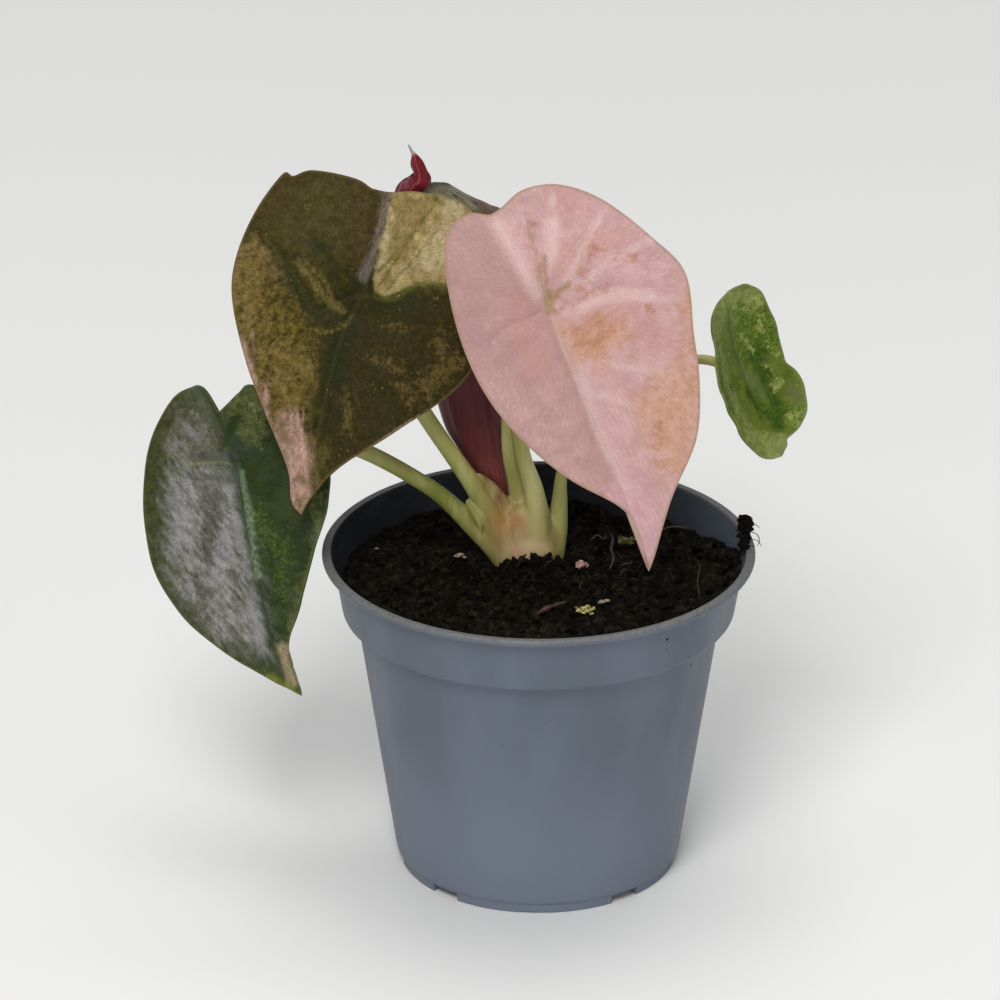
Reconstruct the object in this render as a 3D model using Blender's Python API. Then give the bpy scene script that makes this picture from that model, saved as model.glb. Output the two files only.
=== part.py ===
"""A potted alocasia: a young elephant-ear plant in a 12 cm grower's pot.

Sizes and places are in millimetres, and MM turns them into Blender's metres.
+Z is up, and the origin is the centre of the pot's underside. The plant is seen from -Y,
with X to the right. Each leaf's own sizes are (across, along): across to the right as its
upper face is seen, and along from its hub, where the stalk joins it, towards its tip.
"""

import math
from dataclasses import dataclass

import bmesh
import bpy
import numpy as np

MM = 0.001
GAP = 0.3

# Pot
RIM_RADIUS = 60.0
POT_HEIGHT = 93.5
WALL = 1.25
WALL_SLOPE = 0.1486
BODY_BASE_RADIUS = 39.43
COLLAR_BASE = 76.2
COLLAR_BASE_RADIUS = 54.5
COLLAR_SLOPE = 0.16
LIP_HEIGHT = 2.1
LIP_WIDTH = 2.7
FLOOR_UNDERSIDE = 2.8
FLOOR_TOP = 4.3
FOOT_RADIUS = 38.9
FOOT_WIDTH = 1.9
CENTRE_PAD_RADIUS = 9.0
NOTCH_COUNT = 9
NOTCH_PITCH = 2 * math.pi / NOTCH_COUNT
NOTCH_HALF_WIDTH = math.radians(6.5)
NOTCH_EDGE = math.radians(0.25)
NOTCH_DEEP = 2.4
NOTCH_SHALLOW = 0.5
FRONT_NOTCH = math.radians(-92.0)
DRAIN_RADIUS = 3.5
DRAIN_CIRCLE = 27.0

# Soil, and the hole that the crown stands in
SOIL_LEVEL = 83.6
SOIL_MOUND = 1.6
SOIL_MOUND_REACH = 17.0
SOIL_RINGS = 7
CROWN_CENTRE = (-3.0, 10.0)
CROWN_HALF_SIZE = (11.6, 8.6)
CORM_BASE = 69.0
CORM_SHOULDER = 87.6
CROWN_SIDES = 28

# Blades and stalks
BLADE_THICKNESS = 0.9
HALF_SPOKES = 26
RINGS = 5
HUB_DIMPLE_REACH = 6.7
STALK_SIDES = 10
STALK_STEPS = 15
SHEATH_STEPS = 5
STALK_CLEARANCE = 0.4
STALK_START_LENGTH = 24.0


@dataclass(frozen=True)
class Leaf:
    """One blade: where its hub is, which way it faces, its outline and its relief."""

    name: str
    hub: tuple
    azimuth: float
    elevation: float
    roll: float
    sinus: tuple
    left: tuple
    right: tuple
    tip: tuple
    fold: float
    curl: float
    tip_arch: float
    lobe_arch: float
    dimple: float
    wave: float
    waves: int
    colour: tuple
    roughness: float


@dataclass(frozen=True)
class Stalk:
    """One petiole: the points that it passes, from inside the crown to behind its hub,
    and the length of it that the crown's sheath holds."""

    name: str
    leaf: str
    points: tuple
    radius: float
    base_radius: float
    sheath: float
    colour: tuple


LEAVES = (
    Leaf(
        name="leaf_pink",
        hub=(2.7, -12.0, 171.5),
        azimuth=2.0,
        elevation=20.0,
        roll=19.9,
        sinus=(-6.4, -28.2),
        left=((-13, -30.6), (-20.7, -25.4), (-25.2, -7.3), (-25.4, 12.6), (-20.7, 29.8),
              (-11.9, 45.7), (-1.7, 57.8), (0.7, 65.3)),
        right=((-3.2, -28.9), (4.4, -31.5), (14, -29.4), (23.4, -21.5), (32.6, -6.8),
               (37.4, 5.1), (33.9, 20.9), (30.6, 34.4), (24.4, 48.3), (12.6, 61), (2.9, 74.3)),
        tip=(0.0, 77.7),
        fold=0.16,
        curl=0.005,
        tip_arch=0.001,
        lobe_arch=0.004,
        dimple=3.0,
        wave=1.0,
        waves=5,
        colour=(0.62, 0.36, 0.35, 1.0),
        roughness=0.45,
    ),
    Leaf(
        name="leaf_bronze",
        hub=(-48.6, 4.0, 168.1),
        azimuth=-5.0,
        elevation=24.0,
        roll=-13.3,
        sinus=(-4.7, -28.5),
        left=((-10.3, -30), (-21.9, -29.1), (-26.8, -26.1), (-29.8, -25.9), (-34.1, -14.4),
              (-35.8, -1.5), (-33.9, 10.2), (-25.6, 26.2), (-16.5, 38.6), (-6.7, 51.6), (-3.4, 59.7)),
        right=((0.3, -28.9), (8.3, -31), (21.5, -30.4), (30, -21), (36.6, -4), (36.7, 4.5),
               (31.6, 18.4), (18.9, 34.1), (6.9, 47.2), (1.6, 57)),
        tip=(0.0, 62.5),
        fold=0.14,
        curl=0.005,
        tip_arch=0.0004,
        lobe_arch=0.004,
        dimple=3.5,
        wave=1.2,
        waves=4,
        colour=(0.12, 0.09, 0.04, 1.0),
        roughness=0.35,
    ),
    Leaf(
        name="leaf_dark",
        hub=(-83.7, 3.0, 117.1),
        azimuth=-20.0,
        elevation=22.0,
        roll=25.2,
        sinus=(-0.1, -15.8),
        left=((-2.8, -23.6), (-6.2, -24.7), (-12.4, -23), (-21.4, -14.5), (-27.8, 0), (-31.3, 19),
              (-28.2, 34), (-20.1, 46.7), (-10.2, 57.7)),
        right=((3.1, -17.3), (6.8, -19.1), (11, -20), (21.2, -11.9), (26.7, 5), (23.3, 17.5),
               (16, 28.5), (6.7, 42.1), (0.3, 49.5), (-1.8, 57)),
        tip=(-1.8, 65.8),
        fold=0.22,
        curl=0.006,
        tip_arch=0.0012,
        lobe_arch=0.004,
        dimple=3.0,
        wave=1.0,
        waves=4,
        colour=(0.03, 0.06, 0.03, 1.0),
        roughness=0.25,
    ),
    Leaf(
        name="leaf_small",
        hub=(56.3, 10.0, 143.8),
        azimuth=42.0,
        elevation=22.0,
        roll=8.2,
        sinus=(1.5, -21.2),
        left=((-4.9, -18.4), (-9.1, -8.4), (-13.3, -5.9), (-14.9, 1), (-12.2, 11.7), (-12.9, 14.9),
              (-10.3, 22.3), (-7.9, 24.6)),
        right=((6.6, -21.8), (10.5, -16.9), (13.2, -7), (13.8, 1), (14.4, 9.6), (11.2, 16.8),
               (9.3, 17.9), (6.2, 21.2), (0.2, 22.8), (-1.9, 24.6)),
        tip=(-5.7, 25.4),
        fold=0.0,
        curl=-0.018,
        tip_arch=-0.01,
        lobe_arch=-0.01,
        dimple=0.0,
        wave=0.8,
        waves=3,
        colour=(0.08, 0.2, 0.04, 1.0),
        roughness=0.3,
    ),
    Leaf(
        name="leaf_rear",
        hub=(-4.0, 52.0, 163.6),
        azimuth=103.5,
        elevation=55.0,
        roll=50.0,
        sinus=(2.0, -22.0),
        left=((-6, -26), (-16, -25), (-25, -16), (-29, -2), (-27, 14), (-20, 30), (-11, 43), (-3, 51)),
        right=((9, -26), (19, -24), (26.5, -15), (29.5, -2), (28, 12), (21, 28), (12, 41), (3.5, 50)),
        tip=(0.0, 56.0),
        fold=0.14,
        curl=0.006,
        tip_arch=0.003,
        lobe_arch=0.005,
        dimple=3.0,
        wave=1.0,
        waves=4,
        colour=(0.12, 0.12, 0.09, 1.0),
        roughness=0.3,
    ),
)

STALK_GREEN = (0.29, 0.31, 0.1, 1.0)
STALKS = (
    Stalk(
        name="petiole_pink",
        leaf="leaf_pink",
        points=((0.5, 9.8, 84), (-0.2, 9.3, 96), (-1.4, 8.8, 107), (-4.6, 8, 119.1), (-6, 7, 135),
                (-4, 6, 150), (0, 3.5, 162)),
        radius=2.1,
        base_radius=4.2,
        sheath=20.5,
        colour=STALK_GREEN,
    ),
    Stalk(
        name="petiole_bronze",
        leaf="leaf_bronze",
        points=((-6, 9.5, 84), (-11.5, 9.4, 97), (-17.9, 9, 108.4), (-31.2, 9, 129.5), (-41, 12, 147),
                (-46, 14, 158)),
        radius=2.3,
        base_radius=4.6,
        sheath=17.5,
        colour=STALK_GREEN,
    ),
    Stalk(
        name="petiole_dark",
        leaf="leaf_dark",
        points=((-7.8, 9.2, 84.5), (-12.2, 9, 90.3), (-19, 9.6, 97), (-30, 9, 107.8), (-47.7, 6, 120),
                (-62, 9.5, 122.5), (-73, 13, 118.5)),
        radius=2.2,
        base_radius=4.0,
        sheath=17.0,
        colour=STALK_GREEN,
    ),
    Stalk(
        name="petiole_small",
        leaf="leaf_small",
        points=((2.8, 10.8, 84), (4.8, 12.4, 93), (5.8, 13.4, 101), (6.4, 14, 109.5), (9, 16, 121),
                (17, 17, 134), (30, 15.8, 141.8), (45, 14.4, 144.2)),
        radius=1.35,
        base_radius=4.0,
        sheath=15.0,
        colour=STALK_GREEN,
    ),
    Stalk(
        name="petiole_rear",
        leaf="leaf_rear",
        points=((-4, 12, 84), (-5, 12, 97), (-6.3, 12, 108), (-8.2, 12, 120), (-8, 19.5, 138),
                (-8, 32, 150), (-8.6, 44, 155)),
        radius=2.1,
        base_radius=4.0,
        sheath=20.0,
        colour=STALK_GREEN,
    ),
)

# The new leaf, still rolled: its middle line from the crown to its drip tip, as (x, y, z),
# with the roll's radius there and how far round it reaches on each side of the front.
NEW_LEAF_SECTIONS = (
    ((-10.3, 16.3, 101.0), 1.9, 150.0),
    ((-11.2, 17.4, 104.5), 2.7, 140.0),
    ((-12.6, 19.0, 108.0), 4.2, 125.0),
    ((-14.3, 21.0, 112.0), 5.5, 115.0),
    ((-16.5, 22.8, 118.0), 7.6, 110.0),
    ((-18.3, 24.5, 124.0), 9.0, 110.0),
    ((-21.5, 26.0, 140.0), 9.8, 115.0),
    ((-27.0, 26.5, 160.0), 9.2, 125.0),
    ((-31.0, 25.6, 174.0), 7.6, 135.0),
    ((-34.2, 24.9, 184.0), 5.6, 142.0),
    ((-35.6, 24.1, 190.0), 4.1, 150.0),
    ((-34.2, 23.2, 193.0), 3.4, 152.0),
    ((-32.9, 22.6, 196.6), 2.1, 155.0),
    ((-33.2, 22.2, 199.0), 2.0, 155.0),
    ((-33.6, 22.0, 201.4), 1.2, 155.0),
    ((-34.5, 22.0, 202.7), 0.7, 155.0),
    ((-35.8, 22.0, 204.8), 0.35, 155.0),
)
NEW_LEAF_STEPS = 24
NEW_LEAF_CROWDING = 1.5
NEW_LEAF_ARC_STEPS = 14
NEW_LEAF_COLOUR = (0.12, 0.02, 0.03, 1.0)
NEW_LEAF_BUD = ((-6.0, 13.0, 84.0), (-8.5, 14.5, 94.0), (-10.2, 16.2, 100.6))
NEW_LEAF_BUD_RADIUS = 1.9

# Loose bits that lie on the soil and on the rim: name, centre (x, y), half sizes, turn, colour
SOIL_BITS = (
    ("stone_chip", (12.0, 2.5), (1.7, 1.2, 1.1), 20.0, (0.55, 0.4, 0.36, 1.0)),
    ("bark_sliver", (3.4, -21.0), (4.6, 0.9, 0.7), 32.0, (0.1, 0.045, 0.03, 1.0)),
    ("fertiliser_grain", (13.2, -23.0), (1.5, 1.1, 0.9), -25.0, (0.45, 0.42, 0.15, 1.0)),
    ("pale_chip", (17.6, -17.8), (1.2, 0.9, 0.7), 40.0, (0.5, 0.45, 0.35, 1.0)),
    ("moss_lump", (25.0, 21.5), (1.5, 1.2, 1.1), 0.0, (0.25, 0.26, 0.08, 1.0)),
)
RIM_CRUMB_PLACE = (58.2, 9.5)
RIM_CRUMB_HALF_SIZE = (2.3, 4.2, 2.6)

POT_COLOUR = (0.14, 0.16, 0.2, 1.0)
SOIL_COLOUR = (0.012, 0.009, 0.007, 1.0)
CROWN_COLOUR = (0.5, 0.34, 0.22, 1.0)


def clear_scene():
    for obj in list(bpy.data.objects):
        bpy.data.objects.remove(obj, do_unlink=True)


def make_material(name, colour, roughness):
    material = bpy.data.materials.new(name)
    material.use_nodes = True
    shader = material.node_tree.nodes["Principled BSDF"]
    shader.inputs["Base Color"].default_value = colour
    shader.inputs["Roughness"].default_value = roughness
    shader.inputs["Metallic"].default_value = 0.0
    material.diffuse_color = colour
    return material


def add_object(name, points, faces, colour, roughness=0.6):
    """One object from points in millimetres, with its faces turned outwards."""
    mesh = bpy.data.meshes.new(name)
    mesh.from_pydata([tuple(MM * float(value) for value in point) for point in points], [], faces)
    shell = bmesh.new()
    shell.from_mesh(mesh)
    bmesh.ops.recalc_face_normals(shell, faces=shell.faces)
    shell.to_mesh(mesh)
    shell.free()
    mesh.shade_smooth()
    mesh.set_sharp_from_angle(angle=math.radians(35))
    obj = bpy.data.objects.new(name, mesh)
    obj.data.materials.append(make_material(name, colour, roughness))
    bpy.context.scene.collection.objects.link(obj)
    return obj


def smooth_curve(points, steps, crowding=1.0):
    """A Catmull-Rom curve through the points, cut into steps: equal ones, or ones that get
    shorter towards its end where crowding is over 1."""
    points = np.array(points, float)
    ends = np.vstack([2 * points[0] - points[1], points, 2 * points[-1] - points[-2]])
    t = np.linspace(0, 1, 12, endpoint=False)[:, None]
    dense = [
        0.5 * (2 * b + (c - a) * t + (2 * a - 5 * b + 4 * c - d) * t**2 + (3 * b - a - 3 * c + d) * t**3)
        for a, b, c, d in zip(ends, ends[1:], ends[2:], ends[3:])
    ]
    dense = np.vstack([*dense, points[-1:]])
    along = path_lengths(dense)
    wanted = along[-1] * (1 - np.linspace(1, 0, steps + 1) ** crowding)
    return np.column_stack([np.interp(wanted, along, column) for column in dense.T])


def path_lengths(path):
    """The length along a path to each of its points."""
    return np.concatenate([[0], np.cumsum(np.linalg.norm(np.diff(path, axis=0), axis=1))])


def ring_faces(first, second, count):
    """Quads between two closed rings of points, given by their first indices."""
    return [
        (first + i, first + (i + 1) % count, second + (i + 1) % count, second + i) for i in range(count)
    ]


def body_radius(height):
    """The outer radius of the pot's tapering wall."""
    return BODY_BASE_RADIUS + WALL_SLOPE * height


def collar_radius(height):
    return COLLAR_BASE_RADIUS + COLLAR_SLOPE * (height - COLLAR_BASE)


def pot_profile(foot_bottom):
    """The pot's wall as (radius, height), from its centre pad round the outside to its floor."""
    lip_under = POT_HEIGHT - LIP_HEIGHT
    return [
        (0, 0),
        (CENTRE_PAD_RADIUS - 0.6, 0),
        (CENTRE_PAD_RADIUS, 0.6),
        (CENTRE_PAD_RADIUS, FLOOR_UNDERSIDE),
        (FOOT_RADIUS - FOOT_WIDTH, FLOOR_UNDERSIDE),
        (FOOT_RADIUS - FOOT_WIDTH, foot_bottom),
        (FOOT_RADIUS, foot_bottom),
        (FOOT_RADIUS + 0.2, FLOOR_UNDERSIDE + 0.1),
        (body_radius(3.1) - 0.3, 3.1),
        (body_radius(4.2), 4.2),
        (body_radius(COLLAR_BASE - 0.8), COLLAR_BASE - 0.8),
        (COLLAR_BASE_RADIUS - 0.6, COLLAR_BASE - 0.2),
        (COLLAR_BASE_RADIUS, COLLAR_BASE + 0.5),
        (collar_radius(lip_under), lip_under),
        (RIM_RADIUS - 0.4, lip_under + 0.3),
        (RIM_RADIUS, lip_under + 0.8),
        (RIM_RADIUS, POT_HEIGHT - 0.6),
        (RIM_RADIUS - 0.6, POT_HEIGHT),
        (RIM_RADIUS - LIP_WIDTH + 0.4, POT_HEIGHT),
        (RIM_RADIUS - LIP_WIDTH, POT_HEIGHT - 0.5),
        *inner_wall(0),
        (0, FLOOR_TOP),
    ]


def inner_wall(clearance):
    """The inside of the pot below its lip, as (radius, height), that much clear of it."""
    ledge = COLLAR_BASE + 1.2
    return [
        (collar_radius(ledge + 0.6) - WALL - clearance, ledge + 0.6 + clearance),
        (collar_radius(ledge) - WALL - 0.8 - clearance, ledge + clearance),
        (body_radius(ledge - 0.6) - WALL - clearance, ledge - 0.6 + clearance),
        (body_radius(FLOOR_TOP + 1.0) - WALL - clearance, FLOOR_TOP + 1.0 + clearance),
        (body_radius(FLOOR_TOP) - WALL - 0.9 - clearance, FLOOR_TOP + clearance),
    ]


def pot_angles():
    """(angle, foot bottom) round the pot. Every third notch in the foot is a shallow one."""
    edge = NOTCH_HALF_WIDTH + NOTCH_EDGE
    spare = (NOTCH_PITCH - 2 * edge) / 3
    angles = []
    for notch in range(NOTCH_COUNT):
        middle = FRONT_NOTCH + notch * NOTCH_PITCH
        cut = NOTCH_SHALLOW if notch % 3 == 0 else NOTCH_DEEP
        angles += [(middle - edge, 0.0), (middle - NOTCH_HALF_WIDTH, cut), (middle, cut)]
        angles += [(middle + NOTCH_HALF_WIDTH, cut), (middle + edge, 0.0)]
        angles += [(middle + edge + step * spare, 0.0) for step in (1, 2)]
    return angles


def add_pot():
    columns = [(angle, pot_profile(foot)) for angle, foot in pot_angles()]
    count = len(columns)
    rows = len(columns[0][1])
    points = [(0, 0, 0)]
    for row in range(1, rows - 1):
        for angle, profile in columns:
            radius, height = profile[row]
            points.append((radius * math.cos(angle), radius * math.sin(angle), height))
    points.append((0, 0, FLOOR_TOP))
    faces = [(0, 1 + (i + 1) % count, 1 + i) for i in range(count)]
    for row in range(rows - 3):
        faces += ring_faces(1 + row * count, 1 + (row + 1) * count, count)
    last = 1 + (rows - 3) * count
    faces += [(last + i, last + (i + 1) % count, len(points) - 1) for i in range(count)]
    pot = add_object("pot", points, faces, POT_COLOUR, 0.5)
    for notch in range(NOTCH_COUNT):
        if notch % 3:
            cut_drain_hole(pot, FRONT_NOTCH + notch * NOTCH_PITCH, notch)


def cut_drain_hole(pot, angle, number):
    bpy.ops.mesh.primitive_cylinder_add(
        vertices=12,
        radius=DRAIN_RADIUS * MM,
        depth=4 * MM,
        location=(DRAIN_CIRCLE * MM * math.cos(angle), DRAIN_CIRCLE * MM * math.sin(angle), 3.5 * MM),
    )
    cutter = bpy.context.object
    cutter.name = f"drain_cutter_{number}"
    cutter.hide_render = True
    cutter.display_type = "WIRE"
    hole = pot.modifiers.new(f"drain {number}", "BOOLEAN")
    hole.operation = "DIFFERENCE"
    hole.solver = "EXACT"
    hole.object = cutter


def soil_height(x, y):
    """The uneven top of the soil: a low mound round the crown, with long soft humps."""
    from_crown = math.hypot(x - CROWN_CENTRE[0], y - CROWN_CENTRE[1])
    mound = SOIL_MOUND * math.exp(-((from_crown / SOIL_MOUND_REACH) ** 2))
    humps = 0.5 * math.sin(0.19 * x + 1.1) * math.cos(0.16 * y - 0.4) + 0.25 * math.sin(0.33 * y + 0.21 * x)
    return SOIL_LEVEL + mound + humps


def crown_ring(scale, height, clearance=0.0, sides=CROWN_SIDES):
    """A ring of the crown's oval section."""
    ring = []
    for i in range(sides):
        angle = 2 * math.pi * i / sides
        x = CROWN_CENTRE[0] + (CROWN_HALF_SIZE[0] * scale + clearance) * math.cos(angle)
        y = CROWN_CENTRE[1] + (CROWN_HALF_SIZE[1] * scale + clearance) * math.sin(angle)
        ring.append((x, y, height))
    return ring


def add_soil():
    """One block of soil that fills the pot, with a plain hole for the crown."""
    count = 2 * CROWN_SIDES
    angles = [2 * math.pi * i / count for i in range(count)]
    floor = [(radius, height) for radius, height in reversed(inner_wall(GAP))]
    wall_top = collar_radius(SOIL_LEVEL) - WALL - GAP
    outer = [[(r * math.cos(a), r * math.sin(a), z) for a in angles] for r, z in floor]
    edge = [(wall_top * math.cos(a), wall_top * math.sin(a)) for a in angles]
    hole = [point[:2] for point in crown_ring(1.0, 0, GAP, count)]
    top = []
    for ring in range(SOIL_RINGS + 1):
        share = ring / SOIL_RINGS
        flat = [(a[0] + (b[0] - a[0]) * share, a[1] + (b[1] - a[1]) * share) for a, b in zip(edge, hole)]
        top.append([(x, y, soil_height(x, y)) for x, y in flat])
    bottom = [(x, y, CORM_BASE - GAP) for x, y in hole]
    rings = [*outer, *top, bottom]
    points = [point for ring in rings for point in ring]
    faces = [tuple(range(count))]
    for ring in range(len(rings) - 1):
        faces += ring_faces(ring * count, (ring + 1) * count, count)
    faces.append(tuple(range(len(points) - count, len(points))))
    add_object("soil", points, faces, SOIL_COLOUR, 0.9)


def leaf_axes(leaf):
    """The leaf's across, along and outward directions."""
    azimuth, elevation, roll = (math.radians(a) for a in (leaf.azimuth, leaf.elevation, leaf.roll))
    outward = np.array(
        [math.sin(azimuth) * math.cos(elevation), -math.cos(azimuth) * math.cos(elevation), math.sin(elevation)]
    )
    right = np.array([math.cos(azimuth), math.sin(azimuth), 0.0])
    up = np.array(
        [-math.sin(azimuth) * math.sin(elevation), math.cos(azimuth) * math.sin(elevation), math.cos(elevation)]
    )
    across = right * math.cos(roll) + up * math.sin(roll)
    along = right * math.sin(roll) - up * math.cos(roll)
    return across, along, outward


def blade_relief(leaf, across, along, share):
    """How far the blade stands out of its flat plane: folded, arched, dimpled and waved."""
    fold = leaf.fold * (np.sqrt(across**2 + 4) - 2)
    arch = np.where(along > 0, leaf.tip_arch, leaf.lobe_arch) * along**2
    dimple = leaf.dimple * np.exp(-(across**2 + along**2) / HUB_DIMPLE_REACH**2)
    wave = leaf.wave * share**4 * np.sin(leaf.waves * np.arctan2(across, along) + 0.6)
    return fold - leaf.curl * across**2 - arch - dimple + wave


def blade_rim(leaf):
    """The outline once round, from the sinus down the left side to the tip and back up."""
    left = smooth_curve([leaf.sinus, *leaf.left, leaf.tip], HALF_SPOKES)
    right = smooth_curve([leaf.sinus, *leaf.right, leaf.tip], HALF_SPOKES)
    return np.vstack([left[:-1], right[:0:-1]])


def add_blade(leaf):
    """A thin blade on a grid of spokes and rings, with both faces cut into the same triangles."""
    rim = blade_rim(leaf)
    count = len(rim)
    across_axis, along_axis, outward = leaf_axes(leaf)
    flat = np.vstack([[(0.0, 0.0)], *[rim * ring / RINGS for ring in range(1, RINGS + 1)]])
    share = np.concatenate([[0.0], *[np.full(count, ring / RINGS) for ring in range(1, RINGS + 1)]])
    height = blade_relief(leaf, flat[:, 0], flat[:, 1], share)
    middle = np.array(leaf.hub) + flat[:, :1] * across_axis + flat[:, 1:] * along_axis
    upper = middle + (height + BLADE_THICKNESS / 2)[:, None] * outward
    lower = middle + (height - BLADE_THICKNESS / 2)[:, None] * outward
    size = len(upper)
    sheet = [(0, 1 + i, 1 + (i + 1) % count) for i in range(count)]
    for ring in range(RINGS - 1):
        for a, b, c, d in ring_faces(1 + ring * count, 1 + (ring + 1) * count, count):
            sheet += [(a, b, c), (a, c, d)]
    faces = sheet + [(size + c, size + b, size + a) for a, b, c in sheet]
    edge = 1 + (RINGS - 1) * count
    faces += ring_faces(edge, size + edge, count)
    add_object(leaf.name, np.vstack([upper, lower]), faces, leaf.colour, leaf.roughness)


def stalk_path(stalk):
    """The stalk's middle line, which ends square behind the hub, just clear of the blade."""
    leaf = next(leaf for leaf in LEAVES if leaf.name == stalk.leaf)
    outward = leaf_axes(leaf)[2]
    depth = leaf.dimple + BLADE_THICKNESS / 2 + STALK_CLEARANCE
    hub = np.array(leaf.hub)
    end = [hub - outward * (depth + 4.0), hub - outward * depth]
    return smooth_curve([*stalk.points, *end], 96)


def stalk_radius(stalk, length):
    """The stalk swells into a sheath towards its base."""
    swell = np.exp(-((length / STALK_START_LENGTH) ** 2) * 2.2)
    return stalk.radius + (stalk.base_radius - stalk.radius) * swell


def stations(path, start, end, steps):
    """Points on a path between two lengths along it, its directions there, and those lengths."""
    lengths = path_lengths(path)
    tangents = np.gradient(path, lengths, axis=0)
    wanted = np.linspace(start, end, steps + 1)
    points = np.column_stack([np.interp(wanted, lengths, column) for column in path.T])
    directions = np.column_stack([np.interp(wanted, lengths, column) for column in tangents.T])
    return points, directions / np.linalg.norm(directions, axis=1)[:, None], wanted


def tube(points, directions, radii):
    """Points and faces of a round tube with flat ends, square to its path."""
    side = np.cross(directions[0], (0.0, 1.0, 0.0))
    turns = [2 * math.pi * i / STALK_SIDES for i in range(STALK_SIDES)]
    rings = []
    for point, direction, radius in zip(points, directions, radii):
        side = side - direction * np.dot(side, direction)
        side /= np.linalg.norm(side)
        other = np.cross(direction, side)
        rings.append([point + radius * (side * math.cos(t) + other * math.sin(t)) for t in turns])
    faces = [tuple(range(STALK_SIDES))[::-1]]
    for ring in range(len(rings) - 1):
        faces += ring_faces(ring * STALK_SIDES, (ring + 1) * STALK_SIDES, STALK_SIDES)
    faces.append(tuple(range((len(rings) - 1) * STALK_SIDES, len(rings) * STALK_SIDES)))
    return [point for ring in rings for point in ring], faces


def add_stalk(stalk):
    path = stalk_path(stalk)
    start = stalk.sheath + GAP
    points, directions, lengths = stations(path, start, path_lengths(path)[-1], STALK_STEPS)
    shape = tube(points, directions, stalk_radius(stalk, lengths))
    add_object(stalk.name, *shape, stalk.colour, 0.45)


def add_sheath(name, path, length, radius_at):
    """The foot of a stalk, from inside the crown to where the stalk leaves it."""
    points, directions, lengths = stations(path, 0.0, length, SHEATH_STEPS)
    return add_object(name, *tube(points, directions, radius_at(lengths)), CROWN_COLOUR)


def add_crown():
    """The short stem: an oval corm in the soil, joined to the sheathed foot of every stalk."""
    levels = ((0.35, CORM_BASE), (0.8, CORM_BASE + 3), (1.0, CORM_BASE + 8), (1.0, CORM_SHOULDER),
              (0.9, CORM_SHOULDER + 2), (0.62, CORM_SHOULDER + 5))
    rings = [crown_ring(scale, height) for scale, height in levels]
    points = [point for ring in rings for point in ring]
    faces = [tuple(range(CROWN_SIDES))]
    for ring in range(len(rings) - 1):
        faces += ring_faces(ring * CROWN_SIDES, (ring + 1) * CROWN_SIDES, CROWN_SIDES)
    faces.append(tuple(range(len(points) - CROWN_SIDES, len(points))))
    crown = add_object("crown", points, faces, CROWN_COLOUR, 0.45)
    sheaths = bpy.data.collections.new("sheaths")
    bpy.context.scene.collection.children.link(sheaths)
    for stalk in STALKS:
        sheath = add_sheath(
            f"{stalk.name}_sheath", stalk_path(stalk), stalk.sheath, lambda at: stalk_radius(stalk, at)
        )
        move_to(sheaths, sheath)
    bud = smooth_curve(NEW_LEAF_BUD, 24)
    bud_length = path_lengths(bud)[-1]
    move_to(sheaths, add_sheath("bud_sheath", bud, bud_length, lambda at: np.full(len(at), NEW_LEAF_BUD_RADIUS)))
    union = crown.modifiers.new("join sheaths", "BOOLEAN")
    union.operation = "UNION"
    union.solver = "EXACT"
    union.operand_type = "COLLECTION"
    union.collection = sheaths
    keep_evaluated(crown)
    for obj in list(sheaths.objects):
        bpy.data.objects.remove(obj, do_unlink=True)
    bpy.data.collections.remove(sheaths)


def move_to(collection, obj):
    bpy.context.scene.collection.objects.unlink(obj)
    collection.objects.link(obj)


def keep_evaluated(obj):
    """Apply the object's modifiers."""
    graph = bpy.context.evaluated_depsgraph_get()
    mesh = bpy.data.meshes.new_from_object(obj.evaluated_get(graph))
    obj.modifiers.clear()
    obj.data = mesh


def add_new_leaf():
    """The rolled young blade: an open roll that widens from its stalk and ends in a drip tip."""
    centres = np.array([section[0] for section in NEW_LEAF_SECTIONS])
    others = np.array([section[1:] for section in NEW_LEAF_SECTIONS])
    sections = smooth_curve(np.column_stack([centres, others]), NEW_LEAF_STEPS, NEW_LEAF_CROWDING)
    path = sections[:, :3]
    tangents = np.gradient(path, axis=0)
    tangents /= np.linalg.norm(tangents, axis=1)[:, None]
    rings = []
    for point, tangent, (radius, reach) in zip(path, tangents, sections[:, 3:]):
        front = np.array([0.0, -1.0, 0.0]) + tangent * tangent[1]
        front /= np.linalg.norm(front)
        side = np.cross(front, tangent)
        turns = np.radians(np.linspace(-reach, reach, NEW_LEAF_ARC_STEPS + 1))
        inner = radius - min(BLADE_THICKNESS, 0.45 * radius)
        arc = [point + radius * (front * math.cos(t) + side * math.sin(t)) for t in turns]
        arc += [point + inner * (front * math.cos(t) + side * math.sin(t)) for t in turns[::-1]]
        rings.append(arc)
    count = 2 * (NEW_LEAF_ARC_STEPS + 1)
    faces = strip_caps(0, count)
    for ring in range(len(rings) - 1):
        faces += ring_faces(ring * count, (ring + 1) * count, count)
    faces += [tuple(reversed(fan)) for fan in strip_caps((len(rings) - 1) * count, count)]
    add_object("leaf_new", [point for ring in rings for point in ring], faces, NEW_LEAF_COLOUR, 0.35)


def strip_caps(first, count):
    """Quads that close the end of a rolled strip, between its outer and its inner arc."""
    half = count // 2
    return [
        (first + i, first + i + 1, first + count - 2 - i, first + count - 1 - i) for i in range(half - 1)
    ]


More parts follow.
